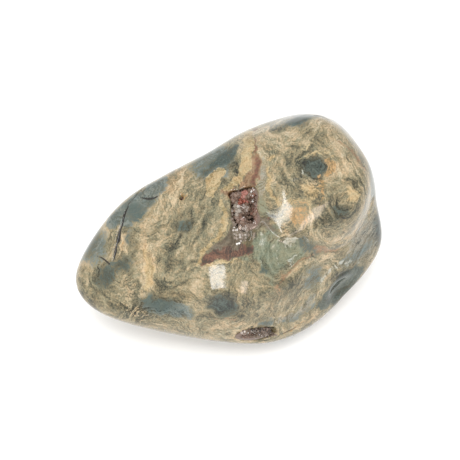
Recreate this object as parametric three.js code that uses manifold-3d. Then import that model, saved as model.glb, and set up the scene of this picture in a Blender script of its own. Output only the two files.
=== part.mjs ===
// A tumbled ocean jasper: one polished, water-worn stone with a crystal-lined pocket in its upper face
// and a smaller one low on its front.
//
// The stone is described in its face frame: x to the right and y up across its best face, z out of that
// face, with the origin inside the stone. At the end it is laid down on its small worn flat, in its own
// frame: x along its length, z up, the origin under its middle. All sizes are in millimetres.

import * as THREE from 'three';
import { mergeVertices } from 'three/addons/utils/BufferGeometryUtils.js';
import Module from 'manifold-3d';

// Colours and finish of the two materials
const STONE_COLOUR = 0xa08f70;
const STONE_ROUGHNESS = 0.18;
const CRYSTAL_COLOUR = 0x8d6a60;
const CRYSTAL_ROUGHNESS = 0.25;

// How the stone lies: its face leans back from upright, and its length is turned to run along x
const FACE_LEAN = 60;
const FACE_TURN = -24.6;
const FLAT_REACH = 9.7;

// Roughly half the stone's length, width and height, which only spread the mesh evenly
const HALF_SIZES = [23, 15.5, 12];
const MESH_DETAIL = 16;

// Each worn side is [turn, lean, reach]: the way that it faces, as degrees round the face from the right
// and degrees out of the face, and how far it stands from the centre of its lobe.
const BODY_CENTRE = [0, 0, 0];
const BODY_FIRMNESS = 13;
const BODY_SCALE = 14;
const BODY_SIDES = [
  // the rim, round from the straight upper-left edge
  [117, 0, 11.0],
  [143, 0, 14.8],
  [165, 0, 21.4],
  [188, 0, 25.6],
  [207, 0, 33.0],
  [226, 0, 23.0],
  [257, 0, 16.1],
  [280, 0, 20.8],
  [300, 0, 18.8],
  [320, 0, 20.8],
  [342, 0, 26.0],
  [5, -8, 30.0],
  // the back edge
  [35, -20, 17.4],
  [70, -20, 15.0],
  [100, -30, 13.5],
  // the face
  [100, 60, 10.3],
  [196, 70, 11.4],
  [0, 90, 10.3],
  [270, 52, 13.0],
  [320, 50, 12.6],
  [350, 30, 20.0],
  // the underside, down to the flat
  [270, -20, 16.6],
  [225, -35, 19.4],
  [315, -35, 17.4],
  [0, -45, 19.0],
  [180, -45, 17.4],
  [135, -60, 13.4],
  [45, -60, 13.8],
  [270, -40, 12.2],
  [225, -52, 13.8],
  [315, -52, 13.0],
  [180, -75, 12.6],
  [0, -75, 12.4],
  [270, -60, 10.2],
];

// The crown is the round lobe that stands proud at the upper right of the face
const CROWN_CENTRE = [12.3, 7.3, 0];
const CROWN_FIRMNESS = 9;
const CROWN_SCALE = 9;
const CROWN_SIDES = [
  [3, 5, 8.1],
  [32, 5, 7.3],
  [65, 5, 8.9],
  [92, 5, 10.0],
  [120, 5, 10.3],
  [180, 10, 12.2],
  [225, 10, 15.0],
  [262, 10, 11.8],
  [292, 8, 11.6],
  [317, 5, 10.2],
  [340, 5, 8.5],
  [0, 90, 12.1],
  [45, 55, 11.6],
  [135, 50, 12.2],
  [225, 55, 14.3],
  [300, 50, 12.4],
  [90, -40, 7.5],
  [0, -40, 6.5],
  [180, -60, 7.5],
  [270, -40, 8.0],
];
const CROWN_BLEND = 1.6;

// Swellings and hollows are ellipsoids: centre, half sizes, turn round z in degrees, and the width of the
// blend into the stone round them
const SADDLE = { centre: [3.2, 9.2, 2.6], radii: [5.6, 4.0, 6.0], turn: 25, blend: 2.0 };
const BROW = { centre: [0.8, -5.0, 4.7], radii: [9.6, 7.4, 6.2], turn: 6, blend: 1.6 };
const VALLEY = { centre: [8.2, -4.4, 14.6], radii: [5.8, 3.4, 5.2], turn: -5, blend: 2.0 };
const SCOOP = { centre: [16.7, -8.9, 3.1], radii: [3.4, 2.5, 3.2], turn: 32, blend: 0.4 };
const TROUGH = { centre: [2.8, -2.2, 12.9], radii: [4.2, 2.2, 3.2], turn: 45, blend: 1.3 };
const DIMPLE = { centre: [-1.1, -11.4, 12.0], radii: [3.4, 2.4, 3.8], turn: 0, blend: 1.2 };
const SWELLINGS = [SADDLE, BROW];
const HOLLOWS = [VALLEY, SCOOP, TROUGH, DIMPLE];

// The crystal pocket: the outline of its mouth across the face, the point under which it is deepest, and
// how deep it is there
const POCKET_MOUTH = [
  [1.4, 5.7],
  [2.6, 6.1],
  [3.6, 5.9],
  [3.8, 4.6],
  [3.6, 3.2],
  [3.9, 1.6],
  [3.5, 0.5],
  [2.5, -0.1],
  [1.1, 0.2],
  [0.2, 1.4],
  [-0.1, 3.1],
  [-0.1, 4.4],
  [-0.7, 5.2],
  [0.3, 5.5],
];
const POCKET_DEEPEST = [2.6, 2.0];
const POCKET_DEPTH = 2.8;
const POCKET_TOP = 13;
const POCKET_FLOOR = 0.35;
const POCKET_RINGS = 4;
const POCKET_POINTS = 26;

// The lower pocket, a lens-shaped hollow that looks down and forward
const LOWER_POCKET = { centre: [3.9, -14.3, 4.2], radii: [2.7, 1.2, 1.5], turn: 6, lean: 43 };

// Fissures run over the face through these points; each is a narrow V
const LONG_FISSURE = [
  [-14.2, 3.4],
  [-14.8, 1.8],
  [-15.3, 0.2],
  [-15.6, -1.4],
  [-16.1, -2.9],
];
const SHORT_FISSURE = [
  [-12.3, 4.6],
  [-11.3, 4.5],
  [-10.2, 4.6],
];
const FISSURES = [
  { points: LONG_FISSURE, width: 0.5, depth: 0.6 },
  { points: SHORT_FISSURE, width: 0.35, depth: 0.35 },
];
const FISSURE_CLEARANCE = 0.4;
const FISSURE_END = 0.3;
const PIT = { centre: [-6.7, 4.6], radius: 0.45, depth: 0.5 };

// The crusts: how far they stay from the stone, how thick they are, and how much smaller than the stone
// the form is that keeps them under its face
const CRUST_GAP = 0.3;
const CRUST_THICKNESS = 0.45;
const LOWER_CRUST_THICKNESS = 0.5;
const CRUST_SINK = 0.97;

// The crystals are six-sided points: their least and greatest size, where the point begins and how wide it
// is there, how far they lean, and how much of each pocket they stand on
const CRYSTAL_COUNT = 36;
const CRYSTAL_SIDES = 6;
const CRYSTAL_RADIUS = [0.26, 0.46];
const CRYSTAL_LENGTH = [0.7, 1.3];
const CRYSTAL_SHOULDER = 0.55;
const CRYSTAL_TAPER = 0.9;
const CRYSTAL_LEAN = 0.35;
const CRYSTAL_SPREAD = 0.95;
const LOWER_CRYSTAL_COUNT = 16;
const LOWER_CRYSTAL_SHARE = 0.6;
const LOWER_CRYSTAL_SPREAD = 0.85;

// The paces at which sizes and leans change from one crystal to the next, so that no two are alike
const SIZE_PACE = 12.9;
const LEAN_PACE_X = 5.1;
const LEAN_PACE_Y = 7.7;

// How finely rays are followed to the surface, and its slope taken
const RAY_LENGTH = 40;
const RAY_STEPS = 40;
const SLOPE_STEP = 0.05;

// How finely the pockets and the pit are cut
const LENS_SEGMENTS = [18, 10];
const PIT_SEGMENTS = [10, 8];

// Points closer than this are one, and slivers thinner than this are taken out after the cuts
const SAME_POINT = 1e-4;
const SLIVER = 0.01;

// The block that stands for the ground under the flat
const GROUND_WIDTH = 80;
const GROUND_DEPTH = 20;

const GOLDEN_SHARE = (3 - Math.sqrt(5)) / 2;
const GOLDEN_ANGLE = 2 * Math.PI * GOLDEN_SHARE;
const UP = new THREE.Vector3(0, 0, 1);

const wasm = await Module();
wasm.setup();

// The unit vector that a worn side faces
function facing(turn, lean) {
  const t = THREE.MathUtils.degToRad(turn);
  const l = THREE.MathUtils.degToRad(lean);
  return new THREE.Vector3(Math.cos(l) * Math.cos(t), Math.cos(l) * Math.sin(t), Math.sin(l));
}

// A lobe bounded by its worn sides, with every edge between them rounded: negative inside
function lobe(centre, sides, firmness, scale) {
  const middle = new THREE.Vector3(...centre);
  const planes = sides.map(([turn, lean, reach]) => facing(turn, lean).divideScalar(reach));
  const offset = new THREE.Vector3();
  return (point) => {
    offset.subVectors(point, middle);
    let sum = 0;
    for (const plane of planes) {
      sum += Math.max(0, offset.dot(plane)) ** firmness;
    }
    return (sum ** (1 / firmness) - 1) * scale;
  };
}

// An ellipsoid turned round z: negative inside
function ellipsoid({ centre, radii, turn }) {
  const middle = new THREE.Vector3(...centre);
  const back = THREE.MathUtils.degToRad(-turn);
  const least = Math.min(...radii);
  const size = new THREE.Vector3(...radii);
  const offset = new THREE.Vector3();
  return (point) => {
    offset.subVectors(point, middle).applyAxisAngle(UP, back).divide(size);
    return (offset.length() - 1) * least;
  };
}

// The smaller of two values, with a round blend of the given width where they meet
function blendMin(a, b, width) {
  const share = THREE.MathUtils.clamp(0.5 + (0.5 * (b - a)) / width, 0, 1);
  return THREE.MathUtils.lerp(b, a, share) - width * share * (1 - share);
}

const body = lobe(BODY_CENTRE, BODY_SIDES, BODY_FIRMNESS, BODY_SCALE);
const crown = lobe(CROWN_CENTRE, CROWN_SIDES, CROWN_FIRMNESS, CROWN_SCALE);
const swellings = SWELLINGS.map((form) => ({ inside: ellipsoid(form), blend: form.blend }));
const hollows = HOLLOWS.map((form) => ({ inside: ellipsoid(form), blend: form.blend }));

// The whole worn form before its pockets and fissures: negative inside
function worn(point) {
  let value = blendMin(body(point), crown(point), CROWN_BLEND);
  for (const { inside, blend } of swellings) {
    value = blendMin(value, inside(point), blend);
  }
  for (const { inside, blend } of hollows) {
    value = -blendMin(-value, inside(point), blend);
  }
  return value;
}

// The distance along a ray at which it leaves the worn form, from a start inside the form
function exitDistance(start, direction) {
  const point = new THREE.Vector3();
  let near = 0;
  let far = RAY_LENGTH;
  for (let step = 0; step < RAY_STEPS; step += 1) {
    const middle = (near + far) / 2;
    point.copy(direction).multiplyScalar(middle).add(start);
    if (worn(point) < 0) {
      near = middle;
    } else {
      far = middle;
    }
  }
  return near;
}

// The point of the face at x, y, and the way that the surface looks there
function onFace(x, y) {
  const start = new THREE.Vector3(x, y, 0);
  const point = start.clone().addScaledVector(UP, exitDistance(start, UP));
  const normal = new THREE.Vector3();
  for (const axis of ['x', 'y', 'z']) {
    const ahead = point.clone();
    const behind = point.clone();
    ahead[axis] += SLOPE_STEP;
    behind[axis] -= SLOPE_STEP;
    normal[axis] = worn(ahead) - worn(behind);
  }
  return { point, normal: normal.normalize() };
}

// A solid from a closed geometry
function solid(geometry) {
  const bare = geometry.clone();
  bare.deleteAttribute('normal');
  bare.deleteAttribute('uv');
  const merged = mergeVertices(bare, SAME_POINT);
  return new wasm.Manifold(new wasm.Mesh({
    numProp: 3,
    vertProperties: new Float32Array(merged.attributes.position.array),
    triVerts: new Uint32Array(merged.index.array),
  }));
}

// The geometry of a solid, without the slivers that cuts leave, turned and moved by a matrix
function geometryOf(piece, matrix) {
  const { vertProperties, triVerts } = piece.simplify(SLIVER).getMesh();
  const geometry = new THREE.BufferGeometry();
  geometry.setAttribute('position', new THREE.BufferAttribute(new Float32Array(vertProperties), 3));
  geometry.setIndex(new THREE.BufferAttribute(new Uint32Array(triVerts), 1));
  geometry.applyMatrix4(matrix);
  geometry.computeVertexNormals();
  return geometry;
}

// The worn form as a mesh: a sphere's points, drawn out to the stone's proportions and then pushed along
// their rays to the surface. Scaled is 1 for the stone, and less for a form that lies inside it.
function wornGeometry(scaled = 1) {
  const geometry = new THREE.IcosahedronGeometry(1, MESH_DETAIL);
  const position = geometry.attributes.position;
  const start = new THREE.Vector3(...BODY_CENTRE);
  const halfSizes = new THREE.Vector3(...HALF_SIZES);
  const direction = new THREE.Vector3();
  for (let i = 0; i < position.count; i += 1) {
    direction.fromBufferAttribute(position, i).multiply(halfSizes).normalize();
    direction.multiplyScalar(exitDistance(start, direction) * scaled);
    position.setXYZ(i, direction.x, direction.y, direction.z);
  }
  return geometry;
}

// The outline of the crystal pocket's mouth, seen square on to the face
const mouth = new THREE.CatmullRomCurve3(POCKET_MOUTH.map(([x, y]) => new THREE.Vector3(x, y, 0)), true);
const deepest = new THREE.Vector3(...POCKET_DEEPEST, 0);

// The bowl of the crystal pocket: rings of the mouth's outline that shrink towards the deepest point, from
// the floor up, and a last one clear above the face. Inset moves the whole wall and floor inwards.
function pocketBowl(inset) {
  const geometry = new THREE.ExtrudeGeometry(new THREE.Shape(mouth.getPoints(POCKET_POINTS).slice(1)), {
    depth: POCKET_RINGS,
    steps: POCKET_RINGS,
    bevelEnabled: false,
  });
  const position = geometry.attributes.position;
  const point = new THREE.Vector3();
  for (let i = 0; i < position.count; i += 1) {
    const rise = position.getZ(i) / POCKET_RINGS;
    point.set(position.getX(i), position.getY(i), 0).sub(deepest);
    point.multiplyScalar(pocketSpread(rise) * (1 - inset / point.length())).add(deepest);
    const wall = onFace(point.x, point.y).point.z - (POCKET_DEPTH - inset) * (1 - rise);
    position.setXYZ(i, point.x, point.y, rise < 1 ? wall : POCKET_TOP);
  }
  return geometry;
}

// How wide the pocket is at a share of its rise from floor to face, as a share of its mouth
function pocketSpread(rise) {
  return THREE.MathUtils.lerp(POCKET_FLOOR, 1, Math.sqrt(rise));
}

// The share of the rise at which the pocket's wall is that wide
function pocketRise(spread) {
  return Math.max(0, (spread - POCKET_FLOOR) / (1 - POCKET_FLOOR)) ** 2;
}

// The place of the lower pocket: its own z points out of its mouth
const lowerPlace = new THREE.Matrix4()
  .makeTranslation(...LOWER_POCKET.centre)
  .multiply(new THREE.Matrix4().makeRotationZ(THREE.MathUtils.degToRad(LOWER_POCKET.turn)))
  .multiply(new THREE.Matrix4().makeRotationX(THREE.MathUtils.degToRad(LOWER_POCKET.lean)));

// The lens of the lower pocket, with its wall moved inwards by inset and the whole lens outwards by rise
function lowerLens(inset, rise = 0) {
  const geometry = new THREE.SphereGeometry(1, ...LENS_SEGMENTS);
  geometry.scale(...LOWER_POCKET.radii.map((radius) => radius - inset));
  geometry.translate(0, 0, rise);
  geometry.applyMatrix4(lowerPlace);
  return geometry;
}

// One fissure: a wedge that follows the face from point to point, open above and narrow at both ends
function fissure({ points, width, depth }) {
  const corners = points.flatMap(([x, y], i) => {
    const { point, normal } = onFace(x, y);
    const before = points[Math.max(0, i - 1)];
    const after = points[Math.min(points.length - 1, i + 1)];
    const along = new THREE.Vector3(after[0] - before[0], after[1] - before[1], 0);
    const across = along.cross(normal).normalize();
    const size = THREE.MathUtils.lerp(FISSURE_END, 1, Math.sin((Math.PI * i) / (points.length - 1)));
    const top = point.clone().addScaledVector(normal, FISSURE_CLEARANCE);
    return [
      top.clone().addScaledVector(across, (width * size) / 2),
      top.clone().addScaledVector(across, (-width * size) / 2),
      point.clone().addScaledVector(normal, -depth * size),
    ];
  });
  const last = corners.length - 3;
  const triangles = [0, 1, 2, last, last + 2, last + 1];
  for (let near = 0; near < last; near += 3) {
    for (let side = 0; side < 3; side += 1) {
      const a = near + side;
      const b = near + ((side + 1) % 3);
      triangles.push(a, b + 3, b, a, a + 3, b + 3);
    }
  }
  const geometry = new THREE.BufferGeometry().setFromPoints(corners);
  geometry.setIndex(triangles);
  return solid(geometry);
}

// A pit: a drop that narrows downwards
function pit({ centre, radius, depth }) {
  const { point, normal } = onFace(...centre);
  const geometry = new THREE.SphereGeometry(1, ...PIT_SEGMENTS);
  geometry.scale(radius, radius, depth);
  geometry.applyQuaternion(new THREE.Quaternion().setFromUnitVectors(UP, normal));
  geometry.translate(point.x, point.y, point.z);
  return solid(geometry);
}

// A six-sided crystal with a pointed end, standing on root and pointing along direction
function crystal(root, direction, radius, length) {
  const profile = [
    new THREE.Vector2(0, 0),
    new THREE.Vector2(radius, 0),
    new THREE.Vector2(radius * CRYSTAL_TAPER, length * CRYSTAL_SHOULDER),
    new THREE.Vector2(0, length),
  ];
  const geometry = new THREE.LatheGeometry(profile, CRYSTAL_SIDES);
  geometry.rotateX(Math.PI / 2);
  geometry.applyQuaternion(new THREE.Quaternion().setFromUnitVectors(UP, direction.clone().normalize()));
  geometry.translate(root.x, root.y, root.z);
  return solid(geometry);
}

// A size for the crystal of a given number, spread over a range
function sizeOf(number, [least, most]) {
  return THREE.MathUtils.lerp(least, most, (1 + Math.sin(number * SIZE_PACE)) / 2);
}

// The way that the crystal of a given number would point on a level crust
function leanOf(number) {
  const x = CRYSTAL_LEAN * Math.sin(number * LEAN_PACE_X);
  const y = CRYSTAL_LEAN * Math.cos(number * LEAN_PACE_Y);
  return new THREE.Vector3(x, y, 1);
}

// The crystals of the pocket stand on its floor and walls and lean towards its middle
function pocketCrystals() {
  return Array.from({ length: CRYSTAL_COUNT }, (_, i) => {
    const spread = Math.sqrt((i + 0.5) / CRYSTAL_COUNT) * CRYSTAL_SPREAD;
    const root = mouth.getPoint((i * GOLDEN_SHARE) % 1).sub(deepest).multiplyScalar(spread).add(deepest);
    const rise = pocketRise(spread);
    root.z = onFace(root.x, root.y).point.z - (POCKET_DEPTH - CRUST_GAP) * (1 - rise);
    const inwards = new THREE.Vector3().subVectors(deepest, root).setZ(0);
    const direction = leanOf(i).addScaledVector(inwards, CRYSTAL_LEAN * rise);
    return crystal(root, direction, sizeOf(i, CRYSTAL_RADIUS), sizeOf(i + CRYSTAL_COUNT, CRYSTAL_LENGTH));
  });
}

// The crystals of the lower pocket stand on its inner side and point out of it
function lowerCrystals() {
  const radii = new THREE.Vector3(...LOWER_POCKET.radii.map((radius) => radius - CRUST_GAP));
  return Array.from({ length: LOWER_CRYSTAL_COUNT }, (_, i) => {
    const spread = Math.sqrt((i + 0.5) / LOWER_CRYSTAL_COUNT) * LOWER_CRYSTAL_SPREAD;
    const angle = i * GOLDEN_ANGLE;
    const root = new THREE.Vector3(Math.cos(angle) * spread, Math.sin(angle) * spread, 0);
    root.z = -Math.sqrt(1 - root.lengthSq());
    root.multiply(radii).applyMatrix4(lowerPlace);
    const direction = leanOf(i).transformDirection(lowerPlace);
    const radius = sizeOf(i, CRYSTAL_RADIUS) * LOWER_CRYSTAL_SHARE;
    const length = sizeOf(i + CRYSTAL_COUNT, CRYSTAL_LENGTH) * LOWER_CRYSTAL_SHARE;
    return crystal(root, direction, radius, length);
  });
}

// A crust with its crystals, kept inside its pocket and under the face, as the one piece that it grew as
function crust(outer, inner, crystals) {
  let piece = outer.subtract(inner);
  for (const point of crystals) {
    piece = piece.add(point);
  }
  piece = piece.intersect(outer).intersect(solid(wornGeometry(CRUST_SINK)));
  return piece.decompose().sort((a, b) => b.volume() - a.volume())[0];
}

// From the face frame to the stone's own frame, before it is set over the origin
const lying = new THREE.Matrix4()
  .makeRotationZ(THREE.MathUtils.degToRad(FACE_TURN))
  .multiply(new THREE.Matrix4().makeRotationX(THREE.MathUtils.degToRad(90 - FACE_LEAN)));

// The ground: a block whose top is the plane of the worn flat
function ground() {
  const block = new THREE.BoxGeometry(GROUND_WIDTH, GROUND_WIDTH, GROUND_DEPTH);
  block.translate(0, 0, -FLAT_REACH - GROUND_DEPTH / 2);
  block.applyMatrix4(lying.clone().invert());
  return solid(block);
}

// The stone, with its flat, pockets, pit and fissures cut
function stoneSolid() {
  let piece = solid(wornGeometry());
  const cuts = [
    ground(),
    solid(pocketBowl(0)),
    solid(lowerLens(0)),
    pit(PIT),
    ...FISSURES.map(fissure),
  ];
  for (const cut of cuts) {
    piece = piece.subtract(cut);
  }
  return piece;
}

// The finish of the polished jasper
function stoneMaterial() {
  return new THREE.MeshStandardMaterial({ color: STONE_COLOUR, roughness: STONE_ROUGHNESS, metalness: 0 });
}

// The finish of the quartz crystals
function crystalMaterial() {
  return new THREE.MeshStandardMaterial({ color: CRYSTAL_COLOUR, roughness: CRYSTAL_ROUGHNESS, metalness: 0 });
}

// A node of the part
function named(name, geometry, material) {
  const mesh = new THREE.Mesh(geometry, material);
  mesh.name = name;
  return mesh;
}

// The crust of the crystal pocket
function druseSolid() {
  const outer = solid(pocketBowl(CRUST_GAP));
  const inner = solid(pocketBowl(CRUST_GAP + CRUST_THICKNESS));
  return crust(outer, inner, pocketCrystals());
}

// The crust of the lower pocket
function lowerDruseSolid() {
  const outer = solid(lowerLens(CRUST_GAP));
  const inner = solid(lowerLens(CRUST_GAP, LOWER_CRUST_THICKNESS));
  return crust(outer, inner, lowerCrystals());
}

const stone = named('stone', geometryOf(stoneSolid(), lying), stoneMaterial());
const druse = named('druse', geometryOf(druseSolid(), lying), crystalMaterial());
const lowerDruse = named('lower_druse', geometryOf(lowerDruseSolid(), lying), crystalMaterial());

// The stone is set with its flat on the ground and the middle of its length and width over the origin
stone.geometry.computeBoundingBox();
const { min, max } = stone.geometry.boundingBox;
const jasper = new THREE.Group();
jasper.position.set(-(min.x + max.x) / 2, -(min.y + max.y) / 2, -min.z);
jasper.add(stone, druse, lowerDruse);

const part = new THREE.Group();
part.add(jasper);

export default part;
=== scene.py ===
"""A tumbled ocean jasper, dressed for its portrait.

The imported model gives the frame: a stone and the crystal crusts of its two pockets. This script evens out
the stone's mesh, wears and carves it, marks it with its bands, patches and vein, grows crystals in its
pockets, and sets it on a pale floor under soft light.

Sizes are in millimetres until they meet Blender, which works in metres. Markings are placed by the pixel of
the photograph at which they are seen, and from there they are carried onto the stone itself.
"""

from __future__ import annotations

import logging
import math
from dataclasses import dataclass
from enum import Enum

import bpy
import numpy as np
from mathutils import Matrix, Vector
from mathutils import noise as wobble
from mathutils.bvhtree import BVHTree


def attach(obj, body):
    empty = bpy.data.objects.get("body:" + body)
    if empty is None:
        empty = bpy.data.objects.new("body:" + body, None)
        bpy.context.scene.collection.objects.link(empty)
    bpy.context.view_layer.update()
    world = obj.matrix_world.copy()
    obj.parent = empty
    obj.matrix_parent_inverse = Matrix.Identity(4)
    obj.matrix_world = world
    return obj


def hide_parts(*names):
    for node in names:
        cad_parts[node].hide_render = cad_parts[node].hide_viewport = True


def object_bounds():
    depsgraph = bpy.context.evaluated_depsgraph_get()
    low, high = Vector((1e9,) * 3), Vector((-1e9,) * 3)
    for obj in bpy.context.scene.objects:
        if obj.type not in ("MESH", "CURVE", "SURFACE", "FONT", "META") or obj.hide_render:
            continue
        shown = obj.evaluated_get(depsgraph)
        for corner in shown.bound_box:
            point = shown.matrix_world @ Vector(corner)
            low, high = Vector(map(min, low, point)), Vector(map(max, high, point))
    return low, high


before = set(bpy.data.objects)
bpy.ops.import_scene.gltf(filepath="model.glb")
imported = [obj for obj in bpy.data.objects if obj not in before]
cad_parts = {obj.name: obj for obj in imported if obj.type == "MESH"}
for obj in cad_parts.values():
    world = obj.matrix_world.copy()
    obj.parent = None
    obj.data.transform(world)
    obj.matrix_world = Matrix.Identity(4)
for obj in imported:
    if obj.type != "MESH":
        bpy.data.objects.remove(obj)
CAD_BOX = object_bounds()

log = logging.getLogger("jasper")

MM = 0.001
# corners of the CAD's loose triangles that lie closer than this, in millimetres, are one corner
MERGE_GAP = 0.002
# without a seed of its own the wobble, and so every edge of the markings, comes out differently each time
WOBBLE_SEED = 3
Pixel = tuple[float, float]


def srgb(code: str) -> tuple[float, float, float, float]:
    """Turns a colour as seen on a screen into the linear colour that a shader works with.

    Args:
        code: six hexadecimal digits, with or without a leading hash.

    Returns:
        Red, green, blue and an alpha of 1.
    """
    digits = code.lstrip("#")
    shown = [int(digits[i : i + 2], 16) / 255 for i in (0, 2, 4)]
    # the curve of the sRGB standard: straight near black, and a power above that
    linear = [c / 12.92 if c <= 0.04045 else ((c + 0.055) / 1.055) ** 2.4 for c in shown]
    return (linear[0], linear[1], linear[2], 1.0)


def add_node(
    tree: bpy.types.NodeTree,
    kind: str,
    inputs: dict[str | int, object] | None = None,
    **settings: object,
) -> bpy.types.Node:
    """Adds one node to a tree, with its settings and links.

    Args:
        tree: the tree that gets the node.
        kind: the node's type name.
        inputs: socket name or number to a value, or to the output that feeds it.
        settings: the node's own settings.

    Returns:
        The new node.
    """
    node = tree.nodes.new(kind)
    for name, value in settings.items():
        setattr(node, name, value)
    for name, value in (inputs or {}).items():
        if isinstance(value, bpy.types.NodeSocket):
            tree.links.new(value, node.inputs[name])
        else:
            node.inputs[name].default_value = value
    return node


def bare_material(name: str) -> bpy.types.Material:
    """Makes a material with nothing in its node tree.

    Args:
        name: what the real material is called.

    Returns:
        The material.
    """
    material = bpy.data.materials.new(name)
    material.use_nodes = True
    material.node_tree.nodes.clear()
    return material


def select_only(piece: bpy.types.Object) -> None:
    """Deselects all, then selects one piece and makes it active.

    Args:
        piece: the piece.
    """
    bpy.ops.object.select_all(action="DESELECT")
    piece.select_set(True)
    bpy.context.view_layer.objects.active = piece


def copy_merged(node: bpy.types.Object, name: str) -> bpy.types.Object:
    """Copies a CAD node's mesh into a piece of its own and merges its loose triangles.

    Args:
        node: the CAD node.
        name: the new piece's name.

    Returns:
        The new piece.
    """
    piece = bpy.data.objects.new(name, node.data.copy())
    bpy.context.scene.collection.objects.link(piece)
    select_only(piece)
    bpy.ops.object.mode_set(mode="EDIT")
    bpy.ops.mesh.select_all(action="SELECT")
    bpy.ops.mesh.remove_doubles(threshold=MERGE_GAP * MM)
    bpy.ops.object.mode_set(mode="OBJECT")
    return piece


def points_of(piece: bpy.types.Object) -> np.ndarray:
    """Reads where a piece's vertices are.

    Args:
        piece: the piece.

    Returns:
        Their places in metres, one row each.
    """
    flat = np.empty(len(piece.data.vertices) * 3)
    piece.data.vertices.foreach_get("co", flat)
    return flat.reshape(-1, 3)


@dataclass(frozen=True)
class FaceFrame:
    """Where the stone's best face lies: x to the right and y up across it, z out of it, in millimetres."""

    origin: tuple[float, float, float] = (0.904, 1.573, 9.7)
    lean: float = 60.0
    turn: float = -24.6

    def turned(self) -> Matrix:
        """The turn from the face's axes to the stone's."""
        turn = Matrix.Rotation(math.radians(self.turn), 4, "Z")
        return turn @ Matrix.Rotation(math.radians(90 - self.lean), 4, "X")

    def to_stone(self) -> Matrix:
        """The way from face millimetres to the stone's metres."""
        return Matrix.Translation(Vector(self.origin) * MM) @ self.turned() @ Matrix.Scale(MM, 4)

    def points(self, metres: np.ndarray) -> np.ndarray:
        """Points in metres as face millimetres."""
        back = np.array(self.to_stone().inverted())
        return metres @ back[:3, :3].T + back[:3, 3]


@dataclass
class Portrait:
    """The camera at the photograph's place, and the way from its pixels to the stone.

    Its lengths are in millimetres, those of the lens and the sensor too, and the picture's side is in pixels.
    """

    face: FaceFrame
    lens: float = 135.0
    sensor: float = 36.0
    distance: float = 241.5
    sees_from: float = 10.0
    sees_to: float = 10000.0
    outside: float = 100.0
    side: int = 460
    surface: BVHTree | None = None

    def aim(self) -> None:
        """Makes the camera and gives the scene to it."""
        camera = bpy.data.objects.new("portrait_camera", bpy.data.cameras.new("portrait_camera"))
        camera.data.lens = self.lens
        camera.data.sensor_width = self.sensor
        camera.data.clip_start = self.sees_from * MM
        camera.data.clip_end = self.sees_to * MM
        place = Matrix.Translation(Vector(self.face.origin) * MM) @ self.face.turned()
        camera.matrix_world = place @ Matrix.Translation((0, 0, self.distance * MM))
        bpy.context.scene.collection.objects.link(camera)
        bpy.context.scene.camera = camera

    def look_at(self, stone: bpy.types.Object) -> None:
        """Takes the stone's surface, which pixels are carried onto.

        Args:
            stone: the stone, before it is worn and carved.
        """
        mesh = stone.data
        corners = [v.co.copy() for v in mesh.vertices]
        self.surface = BVHTree.FromPolygons(corners, [tuple(p.vertices) for p in mesh.polygons])

    def on_stone(self, pixel: Pixel) -> np.ndarray:
        """The point of the stone that shows at a pixel, or for a pixel beside it the nearest one.

        Args:
            pixel: across and down, from the picture's upper left corner.

        Returns:
            The point in face millimetres.
        """
        eye, ray = self.ray(pixel)
        hit = self.surface.ray_cast(eye, ray)[0]
        if hit is None:
            hit = self.surface.find_nearest(eye + ray * self.distance * MM)[0]
        return np.array(self.face.to_stone().inverted() @ hit)

    def ray(self, pixel: Pixel) -> tuple[Vector, Vector]:
        """The line of sight through a pixel.

        Args:
            pixel: across and down, from the picture's upper left corner.

        Returns:
            Where the eye is, in metres, and which way it looks, both in the stone's own frame.
        """
        focal = self.side * self.lens / self.sensor
        across = (pixel[0] - self.side / 2) / focal
        up = (self.side / 2 - pixel[1]) / focal
        eye = self.face.to_stone() @ Vector((0, 0, self.distance))
        return eye, (self.face.turned() @ Vector((across, up, -1))).normalized()

    def from_side(self, bearing: tuple[float, float]) -> np.ndarray:
        """The point of the stone that faces one way.

        Args:
            bearing: azimuth and elevation in degrees. The azimuth counts from the stone's -Y side towards +X.

        Returns:
            The point in face millimetres.
        """
        azimuth, elevation = (math.radians(a) for a in bearing)
        level = math.cos(elevation)
        out = Vector((math.sin(azimuth) * level, -math.cos(azimuth) * level, math.sin(elevation)))
        middle = (CAD_BOX[0] + CAD_BOX[1]) / 2
        hit = self.surface.ray_cast(middle + out * self.outside * MM, -out)[0]
        return np.array(self.face.to_stone().inverted() @ hit)

    def pixel_size(self, point: np.ndarray) -> float:
        """How many millimetres one pixel covers at a point."""
        return (self.distance - point[2]) * self.sensor / (self.lens * self.side)


class Tint(Enum):
    """What a marking does to the stone. The value is the name of the mesh attribute that carries it."""

    LIGHT = "light"
    DARK = "dark"
    PEACH = "peach"
    TEAL = "teal"
    DEEP_TEAL = "deep_teal"
    GREY = "grey"
    SAGE = "sage"
    # the stone's pale wisps, and the painted tail of the upper highlight
    WISP_AND_GLINT = "wisp_and_glint"
    BROWN = "brown"
    OLIVE = "olive"
    ORANGE = "orange"
    RED = "red"
    RIND = "rind"
    DRUSE = "druse"
    CRACK = "crack"
    PIT = "pit"
    SUNK = "sunk"
    SWOLLEN = "swollen"


# dips and swells add up where they overlap, and every other tint is as strong as its strongest marking
ADDED_UP = (Tint.SUNK, Tint.SWOLLEN)
# these keep the outline that they are given, and the edges of all other markings wander
CLEAN_EDGED = (Tint.CRACK, Tint.PIT, *ADDED_UP)
# how far a patch reaches into the stone: so many times its longer half size, and so many millimetres more
PATCH_DEPTH = 1.5
PATCH_DEPTH_MORE = 1.0
# how many straight pieces a streak has between two points of its path
STREAK_PIECES = 4
# a streak is looked for in the box of its path with this margin, and counts as far off everywhere else
STREAK_MARGIN = 3.0
FAR_OFF = 1000.0
# the square of a piece's length is never taken as less, so that nothing is divided by zero
LEAST_SQUARE = 1e-9


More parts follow.
